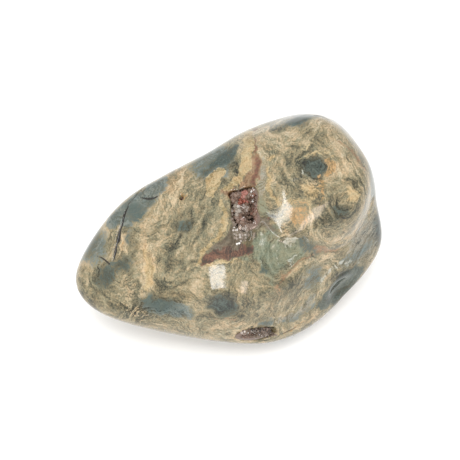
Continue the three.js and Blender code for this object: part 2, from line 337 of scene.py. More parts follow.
@dataclass(frozen=True)
class Patch:
    """An oval marking: where it is seen, its half sizes and soft edge in pixels, and its turn in degrees."""

    tint: Tint
    at: Pixel
    size: tuple[float, float]
    turn: float = 0.0
    soft: float = 3.0
    strength: float = 1.0

    def presence(self, points: np.ndarray, portrait: Portrait) -> np.ndarray:
        """How strongly the marking is there at each point.

        Args:
            points: face millimetres, one row each.
            portrait: the way from pixels to the stone.

        Returns:
            From 0, away from it, to its strength.
        """
        centre = portrait.on_stone(self.at)
        pixel = portrait.pixel_size(centre)
        turn = math.radians(self.turn)
        offset = points - centre
        along = offset[:, 0] * math.cos(turn) + offset[:, 1] * math.sin(turn)
        across = offset[:, 1] * math.cos(turn) - offset[:, 0] * math.sin(turn)
        half = (self.size[0] * pixel, self.size[1] * pixel)
        depth = max(self.size) * pixel * PATCH_DEPTH + PATCH_DEPTH_MORE
        reach = np.sqrt((along / half[0]) ** 2 + (across / half[1]) ** 2 + (offset[:, 2] / depth) ** 2)
        return faded((reach - 1) * min(half), self.soft * pixel) * self.strength


@dataclass(frozen=True)
class Streak:
    """A long marking that follows a smooth path, with a half width in pixels at each point of it."""

    tint: Tint
    path: tuple[Pixel, ...]
    widths: tuple[float, ...]
    soft: float = 1.5
    strength: float = 1.0

    def presence(self, points: np.ndarray, portrait: Portrait) -> np.ndarray:
        """How strongly the marking is there at each point.

        Args:
            points: face millimetres, one row each.
            portrait: the way from pixels to the stone.

        Returns:
            From 0, away from it, to its strength.
        """
        spans = len(self.path) - 1
        steps = np.linspace(0, spans, spans * STREAK_PIECES + 1)
        widths = self.widths if len(self.widths) > 1 else self.widths * len(self.path)
        across = [smooth_between([p[0] for p in self.path], s) for s in steps]
        down = [smooth_between([p[1] for p in self.path], s) for s in steps]
        knots = [portrait.on_stone((x, y)) for x, y in zip(across, down)]
        pixel = portrait.pixel_size(knots[0])
        radii = [np.interp(s, range(len(widths)), widths) * pixel for s in steps]
        outside = np.full(len(points), FAR_OFF)
        low, high = np.min(knots, axis=0) - STREAK_MARGIN, np.max(knots, axis=0) + STREAK_MARGIN
        near = np.all((points > low) & (points < high), axis=1)
        for a, b, wide, narrow in zip(knots, knots[1:], radii, radii[1:]):
            line = b - a
            share = np.clip(((points[near] - a) @ line) / max(line @ line, LEAST_SQUARE), 0, 1)
            gap = np.linalg.norm(points[near] - a - share[:, None] * line, axis=1)
            outside[near] = np.minimum(outside[near], gap - (wide + (narrow - wide) * share))
        return faded(outside, self.soft * pixel) * self.strength


@dataclass(frozen=True)
class Orb:
    """A round marking on a side that the photograph doesn't show: its bearing, and its radius in millimetres.

    The bearing is an azimuth and an elevation in degrees.
    """

    tint: Tint
    bearing: tuple[float, float]
    radius: float
    soft: float = 0.6
    strength: float = 1.0

    def presence(self, points: np.ndarray, portrait: Portrait) -> np.ndarray:
        """How strongly the marking is there at each point, as for the other markings."""
        gap = np.linalg.norm(points - portrait.from_side(self.bearing), axis=1)
        return faded(gap - self.radius, self.soft) * self.strength


def faded(outside: np.ndarray, soft: float) -> np.ndarray:
    """From 1 within an outline to 0 outside it, easing over a soft edge that lies half on either side.

    Args:
        outside: how far each point is outside the outline, in millimetres, negative within it.
        soft: half the width of the soft edge, in millimetres.

    Returns:
        The share at each point.
    """
    kept = np.clip(0.5 - outside / (2 * soft), 0, 1)
    return kept * kept * (3 - 2 * kept)


def smooth_between(values: list[float], step: float) -> float:
    """A value on the smooth curve through evenly spaced values.

    Args:
        values: what the curve passes through.
        step: where on it, counted in values.

    Returns:
        The value there, on a cubic whose slope at each value is that between its neighbours.
    """
    i = min(int(step), len(values) - 2)
    t = step - i
    before, start, end, after = (values[min(max(i + k, 0), len(values) - 1)] for k in (-1, 0, 1, 2))
    rise = (end - before) / 2
    fall = (after - start) / 2
    return (
        (2 * t**3 - 3 * t**2 + 1) * start
        + (t**3 - 2 * t**2 + t) * rise
        + (3 * t**2 - 2 * t**3) * end
        + (t**3 - t**2) * fall
    )


class FaceMark(Enum):
    """The markings of the best face, each at the pixel of the photograph where it is seen, a few of them
    painted light and shade.
    """

    # the narrow end, with its smooth teal body and the long fissure through it
    TEAL_BODY = Streak(
        Tint.TEAL,
        ((110, 220), (124, 214), (138, 204), (150, 192), (162, 181)),
        (6.0, 12.5, 12.0, 10.5, 8.0),
        soft=3,
    )
    TEAL_BODY_FOOT = Patch(Tint.TEAL, (128, 223), (6, 6), soft=3)
    TEAL_BODY_HEART = Patch(Tint.DEEP_TEAL, (135, 212), (10, 12), turn=50, soft=5, strength=0.45)
    TEAL_BORDER = Streak(Tint.LIGHT, ((146, 211), (155, 199), (165, 188)), (1.2, 1.6, 1.2), soft=1.2)
    TEAL_SHEEN = Streak(
        Tint.GREY, ((130, 199), (144, 188), (160, 178)), (2.5, 3.5, 3.0), soft=2.5, strength=0.55
    )
    FISSURE = Streak(
        Tint.CRACK,
        ((128, 206), (124, 214), (122, 224), (119.5, 231), (118, 240), (116.5, 244), (115, 252), (113, 261)),
        (0.5, 1.5, 0.9, 1.3, 2.4, 0.8, 1.5, 0.4),
        soft=0.9,
    )
    SLIT = Streak(
        Tint.CRACK, ((140, 197), (149, 198.5), (158, 196)), (0.5, 1.4, 0.5), soft=0.8, strength=0.9
    )
    UPPER_SLIT = Streak(Tint.CRACK, ((144, 187), (135, 196), (127, 205)), (0.3, 0.6, 0.5), soft=0.8)
    LEFT_SLIT = Streak(Tint.CRACK, ((97, 256), (103, 259), (109, 264)), (0.4, 0.8, 0.9), soft=0.8)
    BESIDE_FISSURE = Streak(
        Tint.PEACH, ((124, 232), (123, 246), (119, 258)), (2.6, 4.2, 2.2), soft=2, strength=0.9
    )
    BEYOND_FISSURE = Patch(Tint.LIGHT, (101, 232), (9, 16), turn=-12, soft=4, strength=0.7)
    BEYOND_PINK = Patch(Tint.PEACH, (97, 248), (9, 12), soft=4, strength=0.6)
    TIP_EDGE_TAN = Patch(Tint.LIGHT, (90, 258), (8, 13), turn=-25, soft=4)
    MOTTLE_BESIDE = Streak(Tint.DARK, ((134, 231), (133, 245), (129, 257)), (4.0, 5.0, 4.5), soft=2.5)
    TIP_SLATE = Patch(Tint.DEEP_TEAL, (106, 276), (8, 11), turn=-20, soft=6)
    TIP_SLATE_UPPER = Patch(Tint.DEEP_TEAL, (121, 265), (10, 6), turn=15, soft=5, strength=0.9)
    TIP_SHADE = Streak(Tint.DARK, ((96, 268), (97, 286), (106, 300)), (3.5, 4.5, 3.5), soft=3, strength=0.7)
    TIP_LOWER_SHADE = Streak(
        Tint.DARK, ((91, 268), (91, 286), (101, 303)), (1.2, 1.4, 1.6), soft=1.5, strength=0.6
    )
    FISSURE_SHADE = Patch(Tint.DARK, (127, 232), (9, 8), soft=4, strength=0.5)
    # painted shade: darkens the rim at the foot of the narrow end, against the floor's bright reflection
    # there
    TIP_FOOT_PAINTED_SHADE = Streak(
        Tint.DARK, ((80, 292), (85, 303), (98, 311)), (4.0, 5.0, 4.0), soft=3, strength=0.8
    )
    TIP_RIM = Streak(Tint.LIGHT, ((80, 262), (77, 285), (83, 305)), (3.0,), soft=2, strength=0.6)
    TIP_ARC = Streak(Tint.LIGHT, ((87, 268), (87, 288), (95, 304)), (1.8,), soft=1.5, strength=0.8)
    TAN_BAND = Streak(
        Tint.LIGHT, ((120, 274), (122, 289), (130, 303)), (4.0, 7.0, 5.0), soft=3, strength=0.8
    )
    TAN_BAND_PINK = Patch(Tint.PEACH, (128, 289), (6, 9), soft=4, strength=0.6)
    LOWER_TIP_SHADE = Patch(Tint.DARK, (129, 303), (5, 4.5), soft=3, strength=0.8)
    PALE_STREAK = Streak(
        Tint.PEACH,
        ((143, 226), (146, 245), (149, 262), (149, 276), (143, 296)),
        (3.0, 4.0, 7.0, 6.0, 3.0),
        soft=3,
    )
    PALE_STREAK_CORE = Streak(
        Tint.LIGHT, ((142, 226), (147, 250), (150, 270), (144, 296)), (4.0, 5.5, 8.0, 4.0), soft=3
    )
    PALE_STREAK_HEART = Streak(
        Tint.RIND,
        ((145, 250), (148, 262), (150, 275), (146, 290)),
        (2.0, 4.0, 5.0, 2.6),
        soft=3,
        strength=0.95,
    )
    STREAK_SHADE = Streak(
        Tint.DARK, ((164, 287), (167, 292), (171, 299)), (9.0, 11.0, 13.0), soft=4, strength=0.75
    )
    LOW_SLATE = Streak(
        Tint.TEAL, ((151, 307), (164, 308), (178, 311), (189, 314)), (6.5, 8.5, 7.5, 4.0), soft=6
    )
    LOW_SLATE_FOOT = Patch(Tint.DARK, (168, 309), (20, 7), turn=-8, soft=4, strength=0.8)
    LOW_SLATE_HEART = Patch(Tint.DEEP_TEAL, (158, 303), (13, 5), turn=-8, soft=6, strength=0.8)
    # the middle of the left half, where the strokes run slantwise
    HEART_SHADE = Patch(Tint.DARK, (184, 227), (9, 6.5), turn=25, soft=3.5)
    HEART_SLATE = Patch(Tint.DEEP_TEAL, (184, 226), (8, 5.5), turn=25, soft=6, strength=0.6)
    HEART_SHADE_UPPER = Patch(Tint.DARK, (188, 214), (9, 5), turn=25, soft=4, strength=0.7)
    SLASH = Streak(Tint.DARK, ((206, 222), (201, 231), (194, 242)), (3.5, 5.0, 3.5), soft=2.5)
    LOWER_SLASH = Streak(
        Tint.DARK,
        ((181, 236), (174, 247), (169, 261), (166, 272)),
        (3.0, 4.0, 4.5, 3.0),
        soft=2.5,
        strength=0.9,
    )
    SMALL_SHADE = Patch(Tint.DARK, (160, 259), (4, 5), soft=2.5, strength=0.7)
    WIDE_SHADE = Patch(Tint.DARK, (184, 241), (33, 15), turn=61, soft=8, strength=0.4)
    BRIGHT_SLASH = Streak(
        Tint.LIGHT, ((204, 216), (193, 228), (184, 241), (179, 258)), (1.6, 2.0, 2.2, 1.8), soft=1.2
    )
    SECOND_SLASH = Streak(
        Tint.LIGHT, ((199, 244), (191, 256), (186, 270)), (1.6, 2.2, 1.8), soft=1.5, strength=0.9
    )
    UPPER_TAN = Patch(Tint.LIGHT, (184, 192), (28, 10), turn=36, soft=6, strength=0.4)
    UPPER_PINK = Patch(Tint.PEACH, (176, 201), (14, 5), turn=35, soft=4, strength=0.4)
    INNER_SHADE = Patch(Tint.DARK, (158, 232), (19, 7), turn=62, soft=5, strength=0.45)
    FLANK_TAN = Patch(Tint.LIGHT, (191, 167), (25, 8), turn=30, soft=4)
    LOW_TAN = Patch(Tint.LIGHT, (199, 280), (8, 20), turn=-20, soft=6, strength=0.5)
    PEACH_PATCH = Streak(Tint.PEACH, ((221, 170), (213, 181), (211, 190)), (4.0, 7.5, 7.0), soft=1.4)
    PEACH_PATCH_CORE = Streak(
        Tint.RIND, ((221, 170), (213, 181), (211, 190)), (4.0, 7.5, 7.0), soft=1.2, strength=0.9
    )
    FLANK_SHADE = Streak(
        Tint.DEEP_TEAL,
        ((205, 172), (215, 164), (225, 157), (233, 150)),
        (2.5, 5.5, 8.0, 6.5),
        soft=3.5,
        strength=0.9,
    )
    FLANK_SHADE_END = Patch(Tint.DARK, (234, 162), (5, 13), soft=4, strength=0.9)
    FACE_PIT = Patch(Tint.PIT, (181.5, 198), (1.3, 1.7), soft=0.9)
    FACE_PIT_RIM = Patch(Tint.ORANGE, (183, 196), (3.5, 3.5), soft=2, strength=0.8)
    STREAK_PIT = Patch(Tint.ORANGE, (150, 267), (1.8, 3), soft=1.2, strength=0.8)
    SMALL_PIT = Patch(Tint.ORANGE, (122.5, 243.5), (1.6, 1.8), soft=1, strength=0.7)
    TIP_INNER_SHADE = Patch(Tint.DARK, (121, 276), (12, 9), soft=5, strength=0.6)
    UPPER_EDGE_TAN = Patch(Tint.LIGHT, (180, 176), (30, 8), turn=32, soft=4, strength=0.8)
    MIDDLE_TAN = Patch(Tint.LIGHT, (185, 205), (8, 5), soft=4, strength=0.5)
    SHADE_LIFT = Streak(
        Tint.LIGHT, ((192, 208), (178, 236), (171, 262)), (4.0, 4.0, 6.0), soft=4, strength=0.35
    )
    FOOT_TAN = Patch(Tint.LIGHT, (168, 272), (9, 10), soft=5, strength=0.5)
    FLANK_LIGHT = Patch(Tint.PEACH, (192, 181), (25, 11), turn=32, soft=6, strength=0.5)
    LOW_BORDER_LIGHT = Patch(Tint.PEACH, (135, 310), (15, 5), turn=-14, soft=5, strength=0.55)
    LEFT_RIM_LIGHT = Patch(Tint.PEACH, (97, 246), (8, 9), soft=4, strength=0.85)
    # painted shade: darkens the rim at the tip's lower edge, against the floor's bright reflection
    TIP_RIM_PAINTED_SHADE = Patch(Tint.DARK, (92, 303), (4, 5), soft=3, strength=0.8)
    BESIDE_FISSURE_SHADE = Patch(Tint.DEEP_TEAL, (129, 238), (4, 8), soft=3, strength=0.35)
    # painted reflection: lightens the bottom rim, as if the floor's light were mirrored in the polish
    BOTTOM_RIM_PAINTED_REFLECTION = Patch(Tint.LIGHT, (208, 338), (10, 3), soft=3, strength=0.6)
    BESIDE_LOW_POCKET_LIGHT = Patch(Tint.LIGHT, (286, 327), (14, 3.5), turn=24, soft=4, strength=0.7)
    ABOVE_LOW_POCKET_SHADE = Patch(Tint.DARK, (232, 316), (15, 3.5), soft=4, strength=0.6)
    # painted shade: darkens the crown's upper corner at the rim, against the floor's bright reflection
    CROWN_CORNER_PAINTED_SHADE = Patch(Tint.OLIVE, (345, 130), (10, 6), turn=-35, soft=5, strength=0.45)
    # painted shade: darkens the right rim, against the floor's bright reflection
    RIGHT_RIM_PAINTED_SHADE = Patch(Tint.DEEP_TEAL, (377, 220), (3.5, 9), soft=4, strength=0.45)
    # the vein with the crystal pocket in it, and the pale rinds along it
    VEIN_EDGE = Streak(
        Tint.BROWN,
        ((256, 126), (253.5, 140), (255, 152), (256, 165), (251, 178), (246, 190), (243, 200)),
        (1.2, 1.2, 2.6, 5.0, 6.5, 9.0, 13.0),
        soft=1.5,
    )
    VEIN_HEART = Streak(
        Tint.RED,
        ((255.5, 127), (254, 140), (256, 156), (257, 168), (253, 184)),
        (0.8, 0.8, 1.4, 2.4, 2.8),
        soft=2,
        strength=0.75,
    )
    VEIN_STRIP = Streak(
        Tint.GREY,
        ((261, 156), (262, 170), (262, 185), (262, 200)),
        (2.5, 3.5, 4.5, 4.0),
        soft=2,
        strength=0.5,
    )
    VEIN_STRIP_LIGHT = Streak(
        Tint.LIGHT, ((261, 160), (262, 180), (263, 208)), (2.5, 4.5, 4.5), soft=2, strength=0.4
    )
    GREEN_STRIP = Streak(
        Tint.SAGE, ((262, 198), (263, 207), (266, 215)), (3.5, 5.5, 4.5), soft=2.5, strength=0.6
    )
    SPUR = Streak(Tint.BROWN, ((224, 192), (233, 194), (242, 199)), (3.5, 7.0, 9.0), soft=1.5)
    SPUR_HEART = Patch(Tint.RED, (232, 197), (5, 5.5), turn=-30, soft=2.5, strength=0.6)
    POCKET_RIM = Patch(Tint.DRUSE, (243, 209), (13, 22), soft=1.5)
    POCKET_FOOT = Streak(Tint.DRUSE, ((247, 226), (239, 234), (233, 242)), (6.0, 10.0, 8.0), soft=2)
    SUNKEN_FOOT = Patch(Tint.SUNK, (240, 234), (9, 10), turn=40, soft=2.5)
    FRINGE = Streak(Tint.OLIVE, ((255, 225), (262, 222), (270, 217)), (5.5, 4.5, 1.5), soft=2)
    FRINGE_SHADE = Patch(Tint.DARK, (262, 222), (6, 3.5), turn=20, soft=2, strength=0.5)
    FRINGE_DULL = Streak(
        Tint.DRUSE,
        ((256, 224), (262, 222), (268, 225), (274, 232)),
        (5.0, 4.5, 3.5, 3.0),
        soft=2,
        strength=0.6,
    )
    FRINGE_SPOT = Patch(Tint.RED, (268, 219), (2, 1.6), soft=1)
    FOOT_EDGE = Streak(
        Tint.OLIVE, ((254, 227), (250, 238), (248, 248)), (4.0, 3.5, 4.0), soft=1.5, strength=0.9
    )
    FOOT_EDGE_SHADE = Streak(
        Tint.DARK, ((254, 229), (250, 239), (248, 247)), (3.0, 3.0, 3.0), soft=2, strength=0.5
    )
    ARM = Streak(
        Tint.RED,
        ((250, 250), (239, 250), (228, 251), (216, 255), (203, 262)),
        (4.0, 6.0, 7.5, 6.5, 4.5),
        soft=2,
    )
    ARM_LIGHT = Patch(Tint.BROWN, (211, 257.5), (7, 3.2), turn=22, soft=3, strength=0.5)
    ARM_RIM = Streak(
        Tint.DRUSE, ((233, 232), (224, 242), (211, 250)), (3.5, 3.5, 2.0), soft=1.5, strength=0.9
    )
    ARM_RIM_LINE = Streak(
        Tint.WISP_AND_GLINT, ((236, 227), (229, 236), (223, 243), (213, 249)), (0.7,), soft=1, strength=0.8
    )
    RIND_UPPER = Streak(
        Tint.RIND,
        ((248, 133), (248, 150), (245, 164), (239, 176), (231, 185), (225, 189)),
        (5.5, 6.0, 5.5, 5.0, 4.0, 2.5),
    )
    VEIN_PALE = Streak(Tint.LIGHT, ((257, 138), (260, 150), (262, 162)), (4.0, 5.5, 4.0), soft=3)
    RIND_LOWER = Streak(
        Tint.RIND,
        (
            (220, 201), (224, 209), (225, 219), (223, 229), (217, 237), (210, 244), (203, 250), (199, 259),
            (197, 267),
        ),
        (2.4, 3.2, 3.2, 3.0, 3.6, 3.2, 3.0, 2.4, 1.2),
        soft=1.5,
    )
    RIND_LOWER_TAN = Patch(Tint.LIGHT, (218, 222), (9, 17), turn=-10, soft=4, strength=0.6)
    RIND_FOOT = Streak(
        Tint.RIND, ((201, 266), (212, 265), (226, 261), (242, 262)), (1.5, 2.4, 2.4, 1.5), soft=1.5
    )
    # the valley of sage green between the vein and the crown
    SAGE_LEFT = Patch(Tint.SAGE, (261, 246), (9.5, 14), soft=2.5)
    SAGE_MIDDLE = Patch(Tint.SAGE, (274, 256), (14, 18), soft=3.5)
    SAGE_RIGHT = Patch(Tint.SAGE, (294, 250), (11, 12), turn=10, soft=3.5, strength=0.9)
    SAGE_UPPER = Patch(Tint.SAGE, (271, 232), (7, 6), turn=40, soft=3.5, strength=0.8)
    SAGE_FOOT = Streak(
        Tint.SAGE, ((268, 268), (272, 277), (273, 285)), (8.0, 5.0, 2.0), soft=3, strength=0.9
    )
    SAGE_ABOVE_ARM = Streak(
        Tint.SAGE, ((226, 256), (240, 257), (252, 261)), (1.8, 2.4, 2.8), soft=1.8, strength=0.7
    )
    VALLEY_TAN = Patch(Tint.PEACH, (284, 230), (4.5, 7), turn=20, soft=2.5, strength=0.8)
    VALLEY_LINE = Streak(
        Tint.DARK, ((289, 222), (296, 231), (306, 238)), (1.0, 1.8, 2.0), soft=1.8, strength=0.8
    )
    VALLEY_SHADE = Patch(Tint.DEEP_TEAL, (265, 270), (4.5, 4), soft=2.5, strength=0.7)
    VALLEY_SHADE_UPPER = Patch(Tint.DARK, (282, 246), (5, 9), soft=3, strength=0.8)
    VALLEY_SHADE_RIGHT = Patch(Tint.DARK, (312, 256), (9, 4), turn=15, soft=3, strength=0.7)
    VALLEY_SLATE = Streak(
        Tint.DEEP_TEAL, ((300, 240), (308, 246), (318, 250)), (4.5, 6.0, 3.0), soft=3.5, strength=0.7
    )
    # painted highlight: the thin tail of the upper highlight, a pale line down the valley's upper edge
    PAINTED_HIGHLIGHT_TAIL = Streak(
        Tint.WISP_AND_GLINT, ((257, 238), (264, 232), (272, 223)), (0.8, 0.9, 0.7), soft=0.9, strength=0.8
    )
    WISP_CLOUD = Patch(Tint.WISP_AND_GLINT, (290, 241), (5.5, 3.5), turn=25, soft=2.5, strength=0.75)
    WISP_ARM = Streak(
        Tint.WISP_AND_GLINT, ((284, 247), (290, 241), (300, 243)), (1.0, 1.4, 0.8), soft=1.5, strength=0.7
    )
    WISP_DOWN = Streak(
        Tint.WISP_AND_GLINT, ((276, 247), (277, 256), (279, 266)), (0.8, 1.2, 0.8), soft=1.4, strength=0.7
    )
    WISP_LOW = Streak(Tint.WISP_AND_GLINT, ((296, 256), (291, 261), (288, 267)), (2.0, 2.8, 1.6), soft=2, strength=0.7)
    WISP_FOOT = Streak(
        Tint.WISP_AND_GLINT, ((262, 262), (266, 268), (271, 276)), (0.8, 1.4, 0.8), soft=1.4, strength=0.5
    )
    WISP_RIGHT = Streak(
        Tint.WISP_AND_GLINT, ((303, 236), (311, 243), (318, 250)), (0.8, 1.0, 0.8), soft=1.3, strength=0.5
    )
    # the crown and its eye
    # painted shade: darkens the top rim, against the bright reflection of the floor behind the stone
    TOP_RIM_PAINTED_SHADE = Streak(
        Tint.DARK,
        ((272, 124), (290, 116), (312, 115), (332, 120), (348, 132)),
        (2.5, 3.5, 4.5, 4.5, 4.0),
        soft=3,
    )
    CROWN_LOW_SHADE = Patch(Tint.DARK, (325, 228), (18, 6), turn=-8, soft=4, strength=0.45)
    CROWN_LEFT_SHADE = Patch(Tint.DARK, (274, 212), (5, 8), turn=-30, soft=3, strength=0.7)
    RUST_SHADE = Patch(Tint.DARK, (319, 178), (6, 5), soft=3, strength=0.5)
    EYE_UPPER_TAN = Patch(Tint.LIGHT, (302, 140), (9, 5), soft=4, strength=0.5)
    STRIP_TAN = Patch(Tint.LIGHT, (270, 175), (9, 16), soft=5, strength=0.45)
    BESIDE_AMBER_TAN = Patch(Tint.LIGHT, (309, 221), (5, 9), turn=-10, soft=3, strength=0.9)
    # painted reflection: lightens the crown's right rim, where its polish mirrors the white surroundings
    CROWN_RIM_PAINTED_REFLECTION = Patch(Tint.LIGHT, (368, 211), (4, 8), soft=2.5, strength=0.8)
    EYE = Patch(Tint.DEEP_TEAL, (315, 167), (12, 9), turn=6, soft=5)
    EYE_SHADE = Patch(Tint.DARK, (313, 168), (17, 12), turn=6, soft=4)
    EYE_CRESCENT = Streak(
        Tint.ORANGE, ((329, 159), (332, 166), (328, 174)), (2.4, 4.2, 2.4), soft=1.8, strength=0.9
    )
    EYE_RING = Streak(
        Tint.RIND,
        ((300, 159), (308, 154), (320, 151.5), (332, 154), (340, 161)),
        (1.0, 1.3, 1.8, 1.8, 1.4),
        soft=1.2,
    )
    EYE_RING_OUTER = Streak(
        Tint.RIND,
        ((286, 161), (296, 151), (310, 146), (326, 145)),
        (0.8, 1.1, 1.1, 0.9),
        soft=1.2,
        strength=0.7,
    )
    EYE_LEFT_SHADE = Patch(Tint.DARK, (295, 159), (5, 9), turn=-35, soft=3.5, strength=0.8)
    EYE_LOWER_SHADE = Patch(Tint.DARK, (281, 178), (7, 10), soft=4, strength=0.75)
    EYE_BELOW_SHADE = Patch(Tint.DARK, (298, 181), (8, 5), soft=3.5, strength=0.75)
    EYE_SPARKLE = Patch(Tint.WISP_AND_GLINT, (301, 172), (2.2, 2.6), soft=2, strength=0.55)
    CROWN_RIND = Streak(
        Tint.RIND,
        ((276, 151), (270, 161), (267.5, 173), (268, 186), (273, 195), (281, 203), (290, 200)),
        (1.8, 2.2, 2.0, 2.4, 2.4, 2.8, 1.6),
        soft=1.2,
    )
    PEACH_SADDLE = Streak(
        Tint.PEACH,
        ((257, 137), (262, 145), (272, 148), (284, 150)),
        (3.5, 5.5, 3.5, 2.0),
        soft=2.5,
        strength=0.9,
    )
    SADDLE_LIGHT = Streak(
        Tint.LIGHT, ((260, 130), (266, 140), (278, 141), (294, 135)), (7.0, 10.0, 9.0, 6.0), soft=4
    )
    RIND_SIDE = Patch(Tint.LIGHT, (242, 148), (7, 9), turn=60, soft=3, strength=0.8)
    TOP_OVAL = Patch(Tint.TEAL, (299, 120), (15, 6.5), turn=18, soft=2.5)
    TOP_OVAL_HEART = Patch(Tint.DEEP_TEAL, (298, 120), (13, 5.5), turn=18, soft=3)
    TOP_SHADE = Patch(Tint.DARK, (279, 128), (9, 3.5), turn=22, soft=3, strength=0.6)
    CROWN_TOP_SHADE = Patch(Tint.DARK, (320, 134), (15, 6), turn=-5, soft=4, strength=0.6)
    CROWN_UPPER_SHADE = Patch(Tint.DARK, (303, 150), (8, 5), soft=3, strength=0.6)
    CROWN_SIDE_TAN = Patch(Tint.LIGHT, (340, 148), (8, 7), soft=3, strength=0.8)
    ORANGE_SPOTS = Streak(
        Tint.ORANGE,
        ((318, 176), (321, 185), (322, 195), (319, 204)),
        (1.6, 2.4, 2.0, 1.6),
        soft=1.8,
        strength=0.85,
    )
    GOLD_BELOW_EYE = Patch(Tint.RIND, (310, 191), (9, 9), turn=30, soft=4, strength=0.75)
    PEACH_BELOW_EYE = Patch(Tint.PEACH, (312, 183), (5, 4), turn=30, soft=3, strength=0.7)
    AMBER = Patch(Tint.ORANGE, (299, 213), (9, 12), turn=-25, soft=3.5, strength=0.55)
    AMBER_HEART = Patch(Tint.ORANGE, (294, 217), (4, 5.5), turn=-20, soft=2.5)
    AMBER_LIGHT = Patch(Tint.LIGHT, (300, 212), (9, 11), soft=4)
    AMBER_RING = Streak(
        Tint.RIND,
        ((290, 207), (296, 201), (304, 200), (310, 205), (312, 213)),
        (1.2, 1.8, 2.0, 1.8, 1.4),
        soft=1.5,
    )
    PEACH_CREST = Streak(
        Tint.PEACH,
        ((324, 184), (333, 175), (344, 167), (355, 163)),
        (2.0, 4.5, 5.0, 4.0),
        soft=3.5,
        strength=0.75,
    )
    PEACH_CREST_CORE = Streak(
        Tint.LIGHT,
        ((324, 184), (333, 175), (344, 167), (356, 164)),
        (3.0, 6.5, 7.5, 6.0),
        soft=4,
        strength=0.85,
    )
    YELLOW_PATCH = Patch(Tint.RIND, (353, 195), (8.5, 6.5), turn=-8, soft=2.5, strength=0.9)
    CREST_SHADE = Patch(Tint.DARK, (352, 182), (11, 3.5), turn=-5, soft=3, strength=0.8)
    CROWN_SHADE = Patch(Tint.DARK, (334, 205), (8, 9), soft=4)
    CROWN_SHADE_RIGHT = Patch(Tint.DARK, (344, 215), (12, 7), turn=18, soft=4)
    CROWN_SLATE = Patch(Tint.DEEP_TEAL, (339, 212), (9, 6), turn=10, soft=4, strength=0.5)
    CROWN_SHADE_LOW = Patch(Tint.DARK, (326, 222), (7, 7), soft=4, strength=0.8)
    CROWN_FOOT_TAN = Streak(
        Tint.LIGHT,
        ((312, 232), (323, 239), (336, 241), (350, 235), (361, 221)),
        (4.0, 6.0, 5.0, 4.5, 4.0),
        soft=3,
    )
    CROWN_FOOT_GOLD = Streak(
        Tint.RIND,
        ((314, 233), (322, 241), (336, 243), (349, 238), (360, 226)),
        (1.2, 1.8, 1.8, 1.6, 1.2),
        soft=1.5,
    )
    # painted reflection: lightens the crown's right rim, where its polish mirrors the white surroundings
    CROWN_EDGE_PAINTED_REFLECTION = Streak(
        Tint.LIGHT, ((369, 178), (370, 195), (368, 210), (362, 225)), (3.0, 3.0, 3.5, 3.0), soft=2.5
    )
    RUST_STREAK = Streak(
        Tint.BROWN,
        ((341, 143), (350, 150), (359, 159), (366, 170)),
        (1.2, 2.0, 2.4, 1.8),
        soft=2,
        strength=0.8,
    )
    RUST_STREAK_INNER = Streak(
        Tint.BROWN, ((347, 155), (355, 162), (361, 171)), (0.7, 1.2, 0.8), soft=1.5, strength=0.6
    )
    CROWN_CRACK = Streak(
        Tint.CRACK, ((333, 141), (338, 139), (343, 137)), (0.3, 0.5, 0.3), soft=0.8, strength=0.8
    )
    CROWN_CHIP = Streak(
        Tint.CRACK, ((314, 115), (321, 116), (328, 119)), (0.3, 0.6, 0.3), soft=0.8, strength=0.6
    )
    # the lower right, between the valley and the edge
    CREASE = Streak(Tint.BROWN, ((316, 248), (326, 251), (338, 250)), (2.6, 3.2, 2.0), soft=3, strength=0.8)
    CREASE_LINE = Streak(
        Tint.BROWN,
        ((313, 254), (302, 260), (291, 268), (283, 279), (278, 290)),
        (1.4, 1.8, 2.0, 2.4, 2.0),
        soft=1.8,
        strength=0.8,
    )
    LOWER_BAND = Streak(
        Tint.LIGHT, ((285, 277), (297, 267), (312, 260), (331, 256)), (3.0, 3.6, 3.8, 3.2), soft=1.8
    )
    LOWER_BAND_PINK = Streak(
        Tint.PEACH,
        ((286, 276), (297, 267), (312, 260), (331, 256)),
        (2.2, 2.6, 2.8, 2.4),
        soft=2,
        strength=0.6,
    )
    LOWER_BAND_SHADE = Patch(Tint.DARK, (305, 263), (12, 6), turn=25, soft=4, strength=0.5)
    HOLLOW_SHADE = Patch(Tint.DARK, (337, 280), (14, 7), turn=42, soft=5, strength=0.85)
    HOLLOW_RIM_SLATE = Streak(Tint.DEEP_TEAL, ((362, 269), (350, 285), (336, 300)), (4.0, 7.0, 6.0), soft=3)
    LOWER_EDGE_PINK = Streak(
        Tint.PEACH, ((318, 312), (306, 322), (292, 330)), (3.0, 4.0, 3.5), soft=3, strength=0.8
    )
    LOWER_EDGE_TAN = Streak(
        Tint.LIGHT, ((320, 311), (306, 322), (290, 332)), (3.0, 4.5, 4.0), soft=3, strength=0.9
    )
    LOWER_MOTTLE = Patch(Tint.DARK, (296, 286), (7, 13), turn=-15, soft=5, strength=0.5)
    LOWER_BROWN = Patch(Tint.BROWN, (280, 289), (7, 11), turn=-10, soft=5, strength=0.45)
    BLUISH = Patch(Tint.TEAL, (313, 277), (12, 6.5), turn=58, soft=4, strength=0.75)
    SHELF_BAND = Streak(
        Tint.LIGHT,
        ((327, 276), (320, 291), (312, 304), (299, 318)),
        (2.2, 2.8, 2.6, 2.4),
        soft=2,
        strength=0.8,
    )
    PALE_SHELF = Streak(
        Tint.WISP_AND_GLINT,
        ((319, 283), (327, 273), (339, 265), (350, 262)),
        (1.5, 2.4, 2.2, 1.4),
        soft=2,
        strength=0.7,
    )
    LONG_ARC = Streak(
        Tint.LIGHT,
        ((303, 295), (294, 309), (277, 317), (261, 322), (249, 329), (235, 333)),
        (1.6, 2.0, 2.0, 1.6, 1.6, 1.6),
        soft=1.3,
    )
    HOLLOW = Streak(
        Tint.DEEP_TEAL, ((353, 273), (342, 281), (332, 292), (323, 305)), (9.0, 13.5, 11.5, 6.0), soft=3
    )
